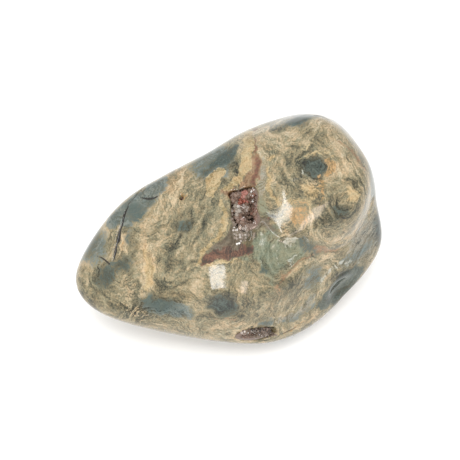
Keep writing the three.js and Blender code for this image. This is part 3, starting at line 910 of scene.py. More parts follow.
    HOLLOW_LIP = Streak(
        Tint.CRACK, ((333, 281), (340, 275), (348, 271)), (0.5, 1.2, 0.6), soft=1.6, strength=0.6
    )
    SHELF_GREY = Patch(Tint.GREY, (366, 240), (25, 13), turn=62, soft=6, strength=0.9)
    SHELF_SLATE = Streak(
        Tint.TEAL, ((344, 262), (358, 255), (370, 243)), (5.0, 6.0, 4.0), soft=4, strength=0.7
    )
    # the shelf's right edge: partly its own dark grey, partly painted shade against the rim's bright
    # reflection of the floor
    SHELF_EDGE_GREY_AND_PAINTED_SHADE = Patch(Tint.DARK, (380, 224), (6, 24), soft=4)
    SHELF_EDGE_SLATE_AND_PAINTED_SHADE = Patch(Tint.DEEP_TEAL, (382, 222), (6, 20), soft=3.5, strength=0.9)
    SHELF_LINE = Streak(Tint.DARK, ((376, 200), (377, 214), (373, 230)), (1.5, 2.6, 2.2), soft=1.8)
    SHELF_LINE_INNER = Streak(
        Tint.DARK, ((371, 214), (367, 228), (358, 242)), (1.2, 1.8, 1.6), soft=1.8, strength=0.9
    )
    SHELF_RING = Streak(
        Tint.LIGHT, ((365, 243), (371, 240), (374, 245), (368, 251)), (1.3, 1.5, 1.5, 1.2), soft=1.3
    )
    LOW_GREY = Streak(
        Tint.GREY,
        ((281, 320), (293, 317), (305, 308), (313, 296)),
        (4.0, 4.5, 4.0, 3.0),
        soft=3.5,
        strength=0.8,
    )
    LOW_SLATE_LINE = Streak(
        Tint.TEAL,
        ((279, 322), (292, 321), (306, 312), (317, 300)),
        (1.2, 2.4, 2.4, 1.2),
        soft=2,
        strength=0.7,
    )
    TRIANGLE = Patch(Tint.TEAL, (266, 323), (7, 4), turn=15, soft=2, strength=0.9)
    # the bottom, with the teal spot and the lower pocket
    SPOT = Patch(Tint.DARK, (227, 304), (19, 13), turn=-8, soft=4)
    SPOT_HEART = Patch(Tint.DEEP_TEAL, (223, 306), (13, 9), turn=-20, soft=6)
    SPOT_SHADE = Patch(Tint.DARK, (230, 311), (20, 8), turn=-5, soft=4, strength=0.8)
    SPOT_TAIL = Streak(
        Tint.DARK, ((234, 296), (247, 302), (259, 310)), (4.0, 5.0, 3.0), soft=3, strength=0.85
    )
    SPOT_FOOT = Streak(
        Tint.DARK, ((205, 317), (222, 320), (240, 318)), (4.0, 4.5, 4.0), soft=3, strength=0.7
    )
    BOTTOM_SHADE = Patch(Tint.DARK, (150, 314), (17, 5), turn=-10, soft=4, strength=0.6)
    SPOT_LOWER_SHADE = Patch(Tint.DARK, (230, 313), (24, 7), soft=4, strength=0.5)
    SPOT_EDGE = Streak(
        Tint.BROWN, ((212, 319), (228, 320), (248, 320)), (1.0, 1.6, 1.2), soft=1.8, strength=0.7
    )
    AMBER_FOOT = Streak(
        Tint.PEACH, ((215, 326), (229, 326), (243, 324)), (3.0, 4.5, 3.0), soft=3, strength=0.9
    )
    AMBER_FOOT_CORE = Patch(Tint.LIGHT, (228, 327), (16, 5), turn=2, soft=3.5, strength=0.6)
    LOWER_LIP = Streak(Tint.LIGHT, ((222, 336), (238, 341), (258, 342)), (2.4, 2.8, 2.0), soft=1.5)
    LOWER_POCKET = Streak(
        Tint.OLIVE, ((238, 336), (248, 331), (260, 328), (281, 333)), (1.5, 3.5, 4.0, 1.5), soft=1.8
    )
    LOWER_POCKET_LIP = Streak(Tint.PEACH, ((232, 335), (240, 330), (248, 326), (258, 323)), (2.0,), soft=1.5)
    LOWER_FISSURE = Streak(Tint.ORANGE, ((281, 334), (291, 330), (302, 323)), (0.8, 1.6, 1.2), soft=1.2)
    LOWER_FISSURE_LINE = Streak(
        Tint.CRACK, ((281, 335), (289, 331.5), (296, 328)), (0.4, 0.7, 0.4), soft=0.8
    )
    # the gentle rises and dips that bend the reflections of the softboxes into the two highlights
    VALLEY_DIP = Patch(Tint.SUNK, (269.3, 229), (1.5, 7.7), turn=43.7, soft=7.3)
    CROWN_DIP = Patch(Tint.SUNK, (301.8, 191.9), (6, 7.6), turn=63.7, soft=11.8, strength=0.83)
    CROWN_DIP_RIGHT = Patch(Tint.SUNK, (318.3, 188.8), (7.8, 7.8), soft=10.4, strength=0.46)
    CROWN_FOOT_RISE = Patch(Tint.SWOLLEN, (300.3, 223.8), (4.8, 6), turn=12, soft=15.9, strength=0.29)
    ARM_FOOT_RISE = Patch(Tint.SWOLLEN, (229.2, 262.8), (5.2, 7.7), turn=2, soft=7.5, strength=0.77)
    LOW_RISE = Patch(Tint.SWOLLEN, (211.5, 290), (1.5, 7.7), turn=18, soft=9.4, strength=0.43)
    CROWN_FOOT_GROOVE = Streak(
        Tint.SUNK,
        ((373, 199), (368, 216), (360, 232), (348, 245), (332, 251), (318, 251)),
        (1.2,),
        soft=5,
        strength=0.6,
    )
    HOLLOW_DIP = Patch(Tint.SUNK, (344, 287), (14, 5), turn=45, soft=5, strength=0.7)


class FarMark(Enum):
    """Markings of the sides that the photograph doesn't show, in the same manner as the face's."""

    BACK_EYE = Orb(Tint.DEEP_TEAL, (150, 25), 1.7)
    BACK_EYE_RING = Orb(Tint.LIGHT, (150, 25), 3.2, soft=1.2, strength=0.7)
    BACK_SHADE = Orb(Tint.DARK, (195, 10), 3.6, soft=1.6, strength=0.9)
    BACK_PEACH = Orb(Tint.PEACH, (215, 35), 2.8, soft=1.4)
    BACK_TEAL = Orb(Tint.TEAL, (175, 45), 3.0, soft=1.2, strength=0.9)
    RIGHT_TEAL = Orb(Tint.TEAL, (80, 15), 2.6, soft=1.4, strength=0.8)
    RIGHT_TAN = Orb(Tint.LIGHT, (100, 35), 3.4, soft=1.6, strength=0.7)
    LEFT_TAN = Orb(Tint.LIGHT, (255, 20), 3.6, soft=1.6, strength=0.6)
    UNDER_TEAL = Orb(Tint.TEAL, (20, -50), 4.0, soft=1.8, strength=0.8)
    UNDER_TAN = Orb(Tint.LIGHT, (200, -55), 5.0, soft=2.2, strength=0.6)
    UNDER_RED = Orb(Tint.BROWN, (120, -40), 1.8, soft=1.0, strength=0.8)
    BACK_TAN = Orb(Tint.LIGHT, (160, -5), 3.2, soft=1.6, strength=0.8)
    BACK_LOW_SHADE = Orb(Tint.DARK, (228, -5), 3.0, soft=1.6)
    BACK_LOW_PEACH = Orb(Tint.PEACH, (188, -12), 2.8, soft=1.4, strength=0.8)
    BACK_SLATE = Orb(Tint.DEEP_TEAL, (220, 4), 1.6, soft=1.2)
    BACK_GOLD = Orb(Tint.RIND, (140, 2), 1.5, soft=1.0, strength=0.8)
    BACK_LOW_SLATE = Orb(Tint.TEAL, (170, -22), 2.2, soft=1.4)
    RIGHT_SHADE = Orb(Tint.DARK, (112, 12), 2.6, soft=1.4)
    RIGHT_PEACH = Orb(Tint.PEACH, (95, -8), 2.4, soft=1.2, strength=0.9)
    LEFT_SLATE = Orb(Tint.TEAL, (252, 0), 2.4, soft=1.4)
    LEFT_SHADE = Orb(Tint.DARK, (285, -8), 2.6, soft=1.4)
    UNDER_EYE = Orb(Tint.DEEP_TEAL, (170, -48), 1.8, soft=1.0)
    UNDER_EYE_RING = Orb(Tint.LIGHT, (170, -48), 3.4, soft=1.2, strength=0.8)


@dataclass(frozen=True)
class Course:
    """How the strokes of one region run: straight at an angle, or round its middle."""

    at: Pixel
    reach: float
    angle: float | None = None
    squash: float = 1.0
    depth_slope: float = 0.4

    def weight(self, points: np.ndarray, portrait: Portrait) -> np.ndarray:
        """How much this course counts at each point.

        Args:
            points: face millimetres, one row each.
            portrait: the way from pixels to the stone.

        Returns:
            From 0, far from it, to 1 in its middle.
        """
        centre = portrait.on_stone(self.at)
        gap = np.linalg.norm(points - centre, axis=1) / (self.reach * portrait.pixel_size(centre))
        return np.exp(-(gap**2))

    def height(self, points: np.ndarray, portrait: Portrait) -> np.ndarray:
        """A height that stays the same along the strokes and changes across them.

        Args:
            points: face millimetres, one row each.
            portrait: the way from pixels to the stone.

        Returns:
            The height at each point, in millimetres.
        """
        offset = points - portrait.on_stone(self.at)
        if self.angle is None:
            return np.sqrt(offset[:, 0] ** 2 + (offset[:, 1] / self.squash) ** 2 + offset[:, 2] ** 2)
        angle = math.radians(self.angle)
        rise = offset[:, 1] * math.cos(angle) - offset[:, 0] * math.sin(angle)
        return rise + self.depth_slope * offset[:, 2]


class Strokes(Enum):
    """The courses of the fine strokes, region by region."""

    LEFT_FIELD = Course((178, 240), 42, angle=61)
    UPPER_LEFT = Course((190, 185), 26, angle=48)
    PALE_COLUMN = Course((148, 262), 24, angle=98)
    FISSURE_SIDE = Course((126, 245), 18, angle=82)
    NARROW_END = Course((118, 272), 30, squash=1.1)
    LOWER_LEFT = Course((165, 315), 22, angle=-12)
    TEAL_SPOT = Course((224, 306), 30, squash=0.8)
    LOWER_FIELD = Course((205, 280), 22, angle=75)
    FLANK = Course((222, 160), 22, angle=40)
    VEIN = Course((252, 165), 14, angle=85)
    EYE = Course((316, 166), 34, squash=0.85)
    AMBER = Course((299, 215), 14, squash=1.3)
    CROWN_LOW = Course((343, 200), 24, squash=1.2)
    VALLEY = Course((272, 250), 24, angle=88)
    LOWER_RIGHT = Course((305, 285), 26, angle=55)
    SHELF = Course((365, 245), 30, angle=60)
    HOLLOW_EDGE = Course((335, 295), 22, angle=42)
    CROWN_TOP = Course((295, 122), 22, angle=18)


@dataclass
class PolishedStone:
    """The stone itself: an even mesh from the CAD node, worn smooth, carved and marked."""

    face: FaceFrame
    portrait: Portrait
    name: str = "polished_jasper"
    # the mesh, the rounds that wear its facets away and polish it all over, and the share a sharp place gets
    mesh_width: float = 0.2
    smoothing: int = 40
    polishing: int = 3
    smoothing_step: float = 0.5
    kept_sharp: float = 0.12
    # the greatest depths of what is carved, and the depth and width of the unevenness that tumbling leaves
    crack_depth: float = 0.22
    pit_depth: float = 0.45
    relief: float = 0.35
    wear: float = 0.05
    wear_length: float = 3.2
    # how far the edges of the markings and the courses of the strokes wander, and how closely they do so
    edge_wander: float = 0.52
    course_wander: float = 0.5
    wander_pitch: float = 0.9
    fine_wander_pitch: float = 2.3
    fine_wander_share: float = 0.5
    # away from every region the strokes follow one slope, to the right, up and out of the face
    far_weight: float = 0.02
    far_slope: tuple[float, float, float] = (0.4, 0.3, 0.8)

    def build(self, node: bpy.types.Object) -> bpy.types.Object:
        """Makes the stone from its CAD node.

        Args:
            node: the CAD node, which is left as it is.

        Returns:
            The piece that stands for it.
        """
        stone = copy_merged(node, self.name)
        self.portrait.look_at(stone)
        remesh = stone.modifiers.new("even mesh", "REMESH")
        remesh.mode = "VOXEL"
        remesh.voxel_size = self.mesh_width * MM
        bpy.ops.object.modifier_apply(modifier=remesh.name)
        self.keep_sharp(stone)
        for group, rounds in (("open_face", self.smoothing), ("", self.polishing)):
            smooth = stone.modifiers.new("worn facets", "SMOOTH")
            smooth.factor = self.smoothing_step
            smooth.iterations = rounds
            smooth.vertex_group = group
            bpy.ops.object.modifier_apply(modifier=smooth.name)
        self.mark(stone)
        self.carve(stone)
        bpy.ops.object.shade_smooth()
        log.info("%s: %d vertices", self.name, len(stone.data.vertices))
        return stone

    def keep_sharp(self, stone: bpy.types.Object) -> None:
        """Puts all but the pockets and fissures in the group that is smoothed.

        Args:
            stone: the even mesh.
        """
        points = self.face.points(points_of(stone))
        sharp = np.zeros(len(points))
        for mark in SharpPlace:
            sharp = np.maximum(sharp, mark.value.presence(points, self.portrait))
        group = stone.vertex_groups.new(name="open_face")
        weights = np.round(1 - (1 - self.kept_sharp) * sharp, 1)
        for weight in np.unique(weights):
            group.add(np.flatnonzero(weights == weight).tolist(), float(weight), "REPLACE")

    def mark(self, stone: bpy.types.Object) -> None:
        """Writes each tint, and the course of the strokes, into an attribute of the mesh.

        Args:
            stone: the mesh, worn smooth.
        """
        points = self.face.points(points_of(stone))
        wander = np.array([wobble.noise_vector(Vector(p) * self.wander_pitch) for p in points])
        fine_wander = np.array([wobble.noise_vector(Vector(p) * self.fine_wander_pitch) for p in points])
        wander += self.fine_wander_share * fine_wander
        wandered = points + wander * self.edge_wander
        marks = [m.value for m in (*FaceMark, *FarMark)]
        for tint in Tint:
            places = points if tint in CLEAN_EDGED else wandered
            values = np.zeros(len(points))
            for mark in marks:
                if mark.tint is tint:
                    presence = mark.presence(places, self.portrait)
                    values = values + presence if tint in ADDED_UP else np.maximum(values, presence)
            self.write(stone, tint.value, values)
        self.write(stone, "course", self.course(points + wander * self.course_wander))

    def course(self, points: np.ndarray) -> np.ndarray:
        """The height across the strokes at each point, blended from the courses of all regions.

        Args:
            points: face millimetres, one row each.

        Returns:
            The height in millimetres.
        """
        weights = np.full(len(points), self.far_weight)
        across, up, out = self.far_slope
        heights = weights * (points[:, 2] * out + points[:, 0] * across + points[:, 1] * up)
        for region in Strokes:
            share = region.value.weight(points, self.portrait)
            heights += share * region.value.height(points, self.portrait)
            weights += share
        return heights / weights

    def write(self, stone: bpy.types.Object, name: str, values: np.ndarray) -> None:
        """Writes one number for each vertex into an attribute."""
        attribute = stone.data.attributes.new(name, "FLOAT", "POINT")
        attribute.data.foreach_set("value", values.astype(np.float32))

    def carve(self, stone: bpy.types.Object) -> None:
        """Sinks the cracks, pits and dips into the surface, raises its swells and leaves it slightly uneven.

        Args:
            stone: the marked mesh.
        """
        points = points_of(stone)
        normals = np.empty(len(points) * 3)
        stone.data.vertices.foreach_get("normal", normals)
        depth = np.array([wobble.noise(Vector(p) / (self.wear_length * MM)) for p in points])
        depth = (depth + 1) / 2 * self.wear
        depths = (
            (Tint.CRACK, self.crack_depth),
            (Tint.PIT, self.pit_depth),
            (Tint.SUNK, self.relief),
            (Tint.SWOLLEN, -self.relief),
        )
        for tint, deepest in depths:
            presence = np.empty(len(points), dtype=np.float32)
            stone.data.attributes[tint.value].data.foreach_get("value", presence)
            depth = depth + presence * deepest
        moved = points - normals.reshape(-1, 3) * depth[:, None] * MM
        stone.data.vertices.foreach_set("co", moved.ravel())
        stone.data.update()


class SharpPlace(Enum):
    """Where the stone's edges stay crisp: round its pockets, fissures and pit."""

    POCKET = Patch(Tint.DRUSE, (243, 210), (18, 26), soft=3)
    LOWER_POCKET = Patch(Tint.DRUSE, (258, 332), (22, 9), soft=3)
    FISSURE = Streak(Tint.CRACK, ((130, 205), (121, 227), (117, 243), (113, 262)), (3.0,), soft=2)
    SLIT = Streak(Tint.CRACK, ((140, 197), (158, 197)), (2.5,), soft=2)
    PIT = Patch(Tint.PIT, (182, 198), (5, 5), soft=2)
    HOLLOW_LIP = Streak(Tint.CRACK, ((334, 279), (341, 274), (352, 271)), (2.5,), soft=3, strength=0.6)


@dataclass(frozen=True)
class Layer:
    """One tint as the finish lays it.

    It holds its two colours as they are seen, how much the fine pattern breaks its edge, how far its
    lightness follows that pattern, and how fully it covers what is under it.
    """

    tint: Tint
    shade: str
    bright: str
    broken: float = 2.5
    contrast: float = 1.0
    strength: float = 0.9


@dataclass(frozen=True)
class Grade:
    """How coarse one pattern is: its width in millimetres, its finer octaves, and how strong those are."""

    width: float
    octaves: float
    roughness: float = 0.65

    def over(self, place: bpy.types.NodeSocket) -> dict[str, object]:
        """The inputs that give a noise this grade, over a place in millimetres."""
        return {"Vector": place, "Scale": 1 / self.width, "Detail": self.octaves, "Roughness": self.roughness}


@dataclass(frozen=True)
class Pattern:
    """The parts of the stone's fine pattern, each a number with its middle at a half."""

    strokes: bpy.types.NodeSocket
    bands: bpy.types.NodeSocket
    lines: bpy.types.NodeSocket
    grain: bpy.types.NodeSocket
    cloud: bpy.types.NodeSocket
    warmth: bpy.types.NodeSocket


@dataclass(frozen=True)
class PolishedJasper:
    """Ocean jasper, tumbled and polished: opaque quartz with a wet gloss, streaked and spotted all through.

    Its colours are given as they are seen in the studio. The gloss of the white surroundings lies over
    all of them, so the stone's own colour is what is left once that gloss is taken off.
    """

    # the polish: quartz's own index, and a buffed surface that is rougher on pale strokes and in the pockets
    ior: float = 1.54
    roughness: float = 0.12
    stroke_roughness: float = 0.04
    pocket_roughness: float = 0.3
    grain_height: float = 0.02
    grain_strength: float = 0.12
    # how the studio shows a colour: the gloss over it, the light on it, and the darkest that it may be
    gloss: float = 0.066
    studio_light: float = 1.65
    darkest: float = 0.004
    # the strokes, drawn out along their course, with crisp edges, and the bands and thin lines beside them
    stroke_grade: Grade = Grade(0.4, 5.0, 0.75)
    stroke_edge: float = 0.16
    along_strokes: float = 0.14
    band_grade: Grade = Grade(1.4, 3.0, 0.75)
    line_gap: float = 0.5
    # what bends their course, and by how many millimetres
    bend_grade: Grade = Grade(1.9, 2.5, 0.5)
    bend: float = 0.45
    # the real grain is a few hundredths of a millimetre, and it is drawn ten times coarser so that it shows
    grain_grade: Grade = Grade(0.22, 5.0)
    cloud_grade: Grade = Grade(3.2, 2.0)
    warmth_grade: Grade = Grade(0.7, 5.0)
    # how much of each goes into the fine pattern, and how far from its middle that pattern runs
    stroke_share: float = 0.42
    band_share: float = 0.5
    line_share: float = 0.06
    grain_share: float = 1.0
    fine_range: float = 0.2
    # the rock's tone, and what the light and dark markings, a few of them painted light and shade, and the
    # clouds do to it
    tone: float = 0.52
    lift: float = 0.2
    drop: float = 0.26
    cloud_share: float = 0.25
    # a tint covers the rock from the first to the second of these, and one fainter than the third fades away
    cover_from: float = 0.2
    cover_to: float = 0.8
    faintest: float = 0.3
    # the rock's colours, from its darkest strokes to its palest
    ramp: tuple[tuple[float, str], ...] = (
        (0.00, "#49483C"),
        (0.14, "#5E5E52"),
        (0.28, "#767263"),
        (0.42, "#918A73"),
        (0.56, "#A99F83"),
        (0.70, "#BFB092"),
        (0.85, "#D8C6A7"),
        (1.00, "#EADDC6"),
    )
    # the cast of the cooler and the warmer places, and how far each pattern moves between the two
    cool: tuple[float, float, float, float] = (0.91, 1.0, 1.06, 1.0)
    warm: tuple[float, float, float, float] = (1.10, 0.99, 0.90, 1.0)
    warmth_share: float = 2.4
    band_warmth: float = 1.2
    grain_warmth: float = 1.2
    layers: tuple[Layer, ...] = (
        Layer(Tint.PEACH, "#967F5F", "#E2CEAC", broken=3.0, strength=0.7),
        # grey: the stone's grey in the vein strip, on the shelf and along the low band, and the painted sheen
        # along the teal body's upper edge
        Layer(Tint.GREY, "#73746B", "#B5B2A4", broken=2.2, strength=0.85),
        Layer(Tint.TEAL, "#5A6562", "#8D9894", broken=2.4, contrast=0.9, strength=0.88),
        Layer(Tint.SAGE, "#747A67", "#A9AD96", broken=1.8, contrast=0.6),
        Layer(Tint.DEEP_TEAL, "#47514D", "#6F7A74", broken=3.0, strength=0.92),
        # the stone's pale wisps, and the painted tail of the upper highlight
        Layer(Tint.WISP_AND_GLINT, "#9FA191", "#D6D6CA", broken=2.4, strength=0.75),
        Layer(Tint.OLIVE, "#625A48", "#92866B", broken=1.6, contrast=0.8),
        Layer(Tint.BROWN, "#7B6250", "#BA9E82", broken=1.4, contrast=0.8),
        Layer(Tint.ORANGE, "#86704F", "#D3B083", broken=3.0, strength=0.85),
        Layer(Tint.RED, "#553D33", "#947062", broken=1.8, contrast=0.9),
        Layer(Tint.RIND, "#A59069", "#E2CDA5", broken=1.3, contrast=0.8),
        Layer(Tint.DRUSE, "#695F53", "#968C7B", broken=1.2, contrast=0.8, strength=1.0),
        Layer(Tint.PIT, "#5A4030", "#85603F", broken=0.3, strength=1.0),
        # the cracks' near-black is partly their own dark colour and partly painted shade, the shade that
        # falls into their narrow grooves
        Layer(Tint.CRACK, "#4B493F", "#56534A", broken=0.5, strength=1.0),
    )

    def own(self, seen: str) -> tuple[float, float, float, float]:
        """The stone's own colour, from the colour that is seen on it in the studio.

        Args:
            seen: the colour as it shows, in six hexadecimal digits.

        Returns:
            Linear red, green, blue and an alpha of 1.
        """
        bare = [max(self.darkest, (c - self.gloss) / self.studio_light) for c in srgb(seen)[:3]]
        return (bare[0], bare[1], bare[2], 1.0)

    def build(self) -> bpy.types.Material:
        """Makes the material.

        Returns:
            The material, with its pattern in the stone's own millimetres.
        """
        material = bare_material("polished ocean jasper")
        tree = material.node_tree
        pattern = self.pattern(tree)
        shares = (
            (pattern.strokes, self.stroke_share),
            (pattern.bands, self.band_share),
            (pattern.lines, self.line_share),
            (pattern.grain, self.grain_share),
        )
        fine = self.blend(tree, 0.0, shares)
        colour = self.rock(tree, fine, pattern.cloud)
        for layer in self.layers:
            colour = self.lay(tree, layer, colour, fine)
        self.polish(tree, self.warmed(tree, colour, pattern), pattern)
        return material

    def pattern(self, tree: bpy.types.NodeTree) -> Pattern:
        """The fine pattern that runs through the whole stone, with its strokes along their courses.

        Args:
            tree: the material's nodes.

        Returns:
            The pattern's parts.
        """
        place = add_node(tree, "ShaderNodeTexCoord").outputs["Object"]
        mm = add_node(tree, "ShaderNodeVectorMath", {0: place, "Scale": 1 / MM}, operation="SCALE").outputs[0]
        along = {0: mm, "Scale": self.along_strokes}
        drawn = add_node(tree, "ShaderNodeVectorMath", along, operation="SCALE").outputs[0]
        bend = add_node(tree, "ShaderNodeTexNoise", self.bend_grade.over(mm))
        course = add_node(tree, "ShaderNodeAttribute", attribute_name="course")
        bent = {0: bend.outputs["Fac"], 1: self.bend, 2: course.outputs["Fac"]}
        across = add_node(tree, "ShaderNodeMath", bent, operation="MULTIPLY_ADD").outputs[0]
        strokes, bands = (
            add_node(
                tree,
                "ShaderNodeTexNoise",
                {**grade.over(drawn), "W": across},
                noise_dimensions="4D",
            )
            for grade in (self.stroke_grade, self.band_grade)
        )
        crisp = add_node(
            tree,
            "ShaderNodeMapRange",
            {
                "Value": strokes.outputs["Fac"],
                "From Min": 0.5 - self.stroke_edge,
                "From Max": 0.5 + self.stroke_edge,
            },
            interpolation_type="SMOOTHSTEP",
        )
        risen = add_node(tree, "ShaderNodeMath", {0: across, 1: 2 / self.line_gap}, operation="MULTIPLY")
        lines = add_node(tree, "ShaderNodeMath", {0: risen.outputs[0], 1: 1.0}, operation="PINGPONG")
        grain, cloud, warmth = (
            add_node(tree, "ShaderNodeTexNoise", grade.over(mm))
            for grade in (self.grain_grade, self.cloud_grade, self.warmth_grade)
        )
        return Pattern(
            strokes=crisp.outputs[0],
            bands=bands.outputs["Fac"],
            lines=lines.outputs[0],
            grain=grain.outputs["Fac"],
            cloud=cloud.outputs["Fac"],
            warmth=warmth.outputs["Fac"],
        )

    def blend(
        self,
        tree: bpy.types.NodeTree,
        start: bpy.types.NodeSocket | float,
        parts: tuple[tuple[bpy.types.NodeSocket, float], ...],
    ) -> bpy.types.NodeSocket:
        """A sum of patterns, each counted from its middle.

        Args:
            tree: the material's nodes.
            start: what the sum starts from, a number or a socket.
            parts: each pattern, and how much of it is added.

        Returns:
            The sum.
        """
        total = start
        for part, share in parts:
            centred = add_node(tree, "ShaderNodeMath", {0: part, 1: 0.5}, operation="SUBTRACT").outputs[0]
            summed = {0: centred, 1: share, 2: total}
            total = add_node(tree, "ShaderNodeMath", summed, operation="MULTIPLY_ADD").outputs[0]
        return total

    def rock(
        self, tree: bpy.types.NodeTree, fine: bpy.types.NodeSocket, cloud: bpy.types.NodeSocket
    ) -> bpy.types.NodeSocket:
        """The tan strokes on grey-green that the whole stone is made of.

        Args:
            tree: the material's nodes.
            fine: the fine pattern.
            cloud: the slow change from place to place.

        Returns:
            The colour.
        """
        light = add_node(tree, "ShaderNodeAttribute", attribute_name=Tint.LIGHT.value).outputs["Fac"]
        dark = add_node(tree, "ShaderNodeAttribute", attribute_name=Tint.DARK.value).outputs["Fac"]
        tone: bpy.types.NodeSocket | float = self.tone
        for marked, change in ((light, self.lift), (dark, -self.drop)):
            changed = {0: marked, 1: change, 2: tone}
            tone = add_node(tree, "ShaderNodeMath", changed, operation="MULTIPLY_ADD").outputs[0]
        toned = add_node(tree, "ShaderNodeMath", {0: tone, 1: fine}, operation="ADD").outputs[0]
        clouded = self.blend(tree, toned, ((cloud, self.cloud_share),))
        ramp = add_node(tree, "ShaderNodeValToRGB", {"Fac": clouded})
        stops = ramp.color_ramp.elements
        for position, _ in self.ramp[1:-1]:
            stops.new(position)
        for stop, (position, code) in zip(stops, self.ramp):
            stop.position = position
            stop.color = self.own(code)
        return ramp.outputs["Color"]

    def lay(
        self,
        tree: bpy.types.NodeTree,
        layer: Layer,
        under: bpy.types.NodeSocket,
        fine: bpy.types.NodeSocket,
    ) -> bpy.types.NodeSocket:
        """Lays one tint over the colours so far, with its edge broken up by the strokes.

        Args:
            tree: the material's nodes.
            layer: the tint and its colours.
            under: the colour so far.
            fine: the fine pattern, which the tint's lightness and edge follow.

        Returns:
            The colour with the tint laid on.
        """
        presence = add_node(tree, "ShaderNodeAttribute", attribute_name=layer.tint.value).outputs["Fac"]
        broken = {0: fine, 1: layer.broken, 2: presence}
        ragged = add_node(tree, "ShaderNodeMath", broken, operation="MULTIPLY_ADD").outputs[0]
        cover = add_node(
            tree,
            "ShaderNodeMapRange",
            {
                "Value": ragged,
                "From Min": self.cover_from,
                "From Max": self.cover_to,
                "To Max": layer.strength,
            },
            interpolation_type="SMOOTHSTEP",
        ).outputs[0]
        fading = {"Value": presence, "From Min": 0.0, "From Max": self.faintest}
        near = add_node(tree, "ShaderNodeMapRange", fading).outputs[0]
        kept = add_node(tree, "ShaderNodeMath", {0: cover, 1: near}, operation="MULTIPLY")
        change = add_node(
            tree,
            "ShaderNodeMapRange",
            {
                "Value": fine,
                "From Min": -self.fine_range,
                "From Max": self.fine_range,
                "To Min": 0.5 - layer.contrast / 2,
                "To Max": 0.5 + layer.contrast / 2,
            },
        )
        tint = add_node(
            tree,
            "ShaderNodeMix",
            {"Factor": change.outputs[0], 6: self.own(layer.shade), 7: self.own(layer.bright)},
            data_type="RGBA",
        )
        over = {"Factor": kept.outputs[0], 6: under, 7: tint.outputs[2]}
        return add_node(tree, "ShaderNodeMix", over, data_type="RGBA").outputs[2]

    def warmed(
        self, tree: bpy.types.NodeTree, colour: bpy.types.NodeSocket, pattern: Pattern
    ) -> bpy.types.NodeSocket:
        """The colour with its slight change between warm and cool from place to place.

        Args:
            tree: the material's nodes.
            colour: the colour so far.
            pattern: the stone's fine pattern.

        Returns:
            The colour, warmer in some places and cooler in others.
        """
        shares = (
            (pattern.warmth, self.warmth_share),
            (pattern.bands, self.band_warmth),
            (pattern.grain, self.grain_warmth),
        )
        between = {"Factor": self.blend(tree, 0.5, shares), 6: self.cool, 7: self.warm}
        cast = add_node(tree, "ShaderNodeMix", between, data_type="RGBA")
        warmed = add_node(
            tree,
            "ShaderNodeMix",
            {"Factor": 1.0, 6: colour, 7: cast.outputs[2]},
            data_type="RGBA",
            blend_type="MULTIPLY",
        )
        return warmed.outputs[2]

    def polish(self, tree: bpy.types.NodeTree, colour: bpy.types.NodeSocket, pattern: Pattern) -> None:
        """Gives the colours their polish: glossy, with a faint grain, and dull round the pockets.

        Args:
            tree: the material's nodes.
            colour: the finished colour.
            pattern: the stone's fine pattern.
        """
        grain = {"Height": pattern.grain, "Strength": self.grain_strength, "Distance": self.grain_height * MM}
        bump = add_node(tree, "ShaderNodeBump", grain)
        druse = add_node(tree, "ShaderNodeAttribute", attribute_name=Tint.DRUSE.value).outputs["Fac"]
        smoothest = self.roughness - self.stroke_roughness / 2
        strokes = {0: pattern.strokes, 1: self.stroke_roughness, 2: smoothest}
        worn = add_node(tree, "ShaderNodeMath", strokes, operation="MULTIPLY_ADD")
        dulled = {0: druse, 1: self.pocket_roughness, 2: worn.outputs[0]}
        rough = add_node(tree, "ShaderNodeMath", dulled, operation="MULTIPLY_ADD")
        surface = add_node(
            tree,
            "ShaderNodeBsdfPrincipled",
            {
                "Base Color": colour,
                "Roughness": rough.outputs[0],
                "IOR": self.ior,
                "Normal": bump.outputs["Normal"],
            },
        )
        add_node(tree, "ShaderNodeOutputMaterial", {"Surface": surface.outputs["BSDF"]})


@dataclass(frozen=True)
class QuartzPoints:
    """Quartz crystals: hard, glassy six-sided points, some stained red by iron, that glint face by face.

    Their index is set a little above quartz's own 1.55, so that their small faces glint more.
    """

    ior: float = 1.6
    roughness: float = 0.05
    light_let_through: float = 0.1
    # near-black: smoky quartz, and the painted shadow of the crystals under the lower pocket's lip
    smoky_and_shadow: str = "#251B16"
    clear: str = "#7C7062"
    clear_at: float = 0.55
    # near-white: frosted quartz, and the painted glint of the whitest crystals
    frosty_and_glint: str = "#E9E5DF"
    stained: str = "#93402E"

    def build(self) -> bpy.types.Material:
        """Makes the material, which reads each crystal's stain and paleness from the mesh; some of the palest
        are painted glints and some of the darkest painted shadow.

        Returns:
            The material.
        """
        material = bare_material("quartz crystal points")
        tree = material.node_tree
        pale = add_node(tree, "ShaderNodeAttribute", attribute_name="pale").outputs["Fac"]
        ramp = add_node(tree, "ShaderNodeValToRGB", {"Fac": pale})
        stops = ramp.color_ramp.elements
        stops.new(self.clear_at)
        shades = ((0.0, self.smoky_and_shadow), (self.clear_at, self.clear), (1.0, self.frosty_and_glint))
        for stop, (position, code) in zip(stops, shades):
            stop.position = position
            stop.color = srgb(code)
        stain = add_node(tree, "ShaderNodeAttribute", attribute_name="stain").outputs["Fac"]
        colour = add_node(
            tree,
            "ShaderNodeMix",
            {"Factor": stain, 6: ramp.outputs["Color"], 7: srgb(self.stained)},
            data_type="RGBA",
        )
        surface = add_node(
            tree,
            "ShaderNodeBsdfPrincipled",
            {
                "Base Color": colour.outputs[2],
                "Roughness": self.roughness,
                "IOR": self.ior,
                "Transmission Weight": self.light_let_through,
            },
        )
        add_node(tree, "ShaderNodeOutputMaterial", {"Surface": surface.outputs["BSDF"]})
        return material


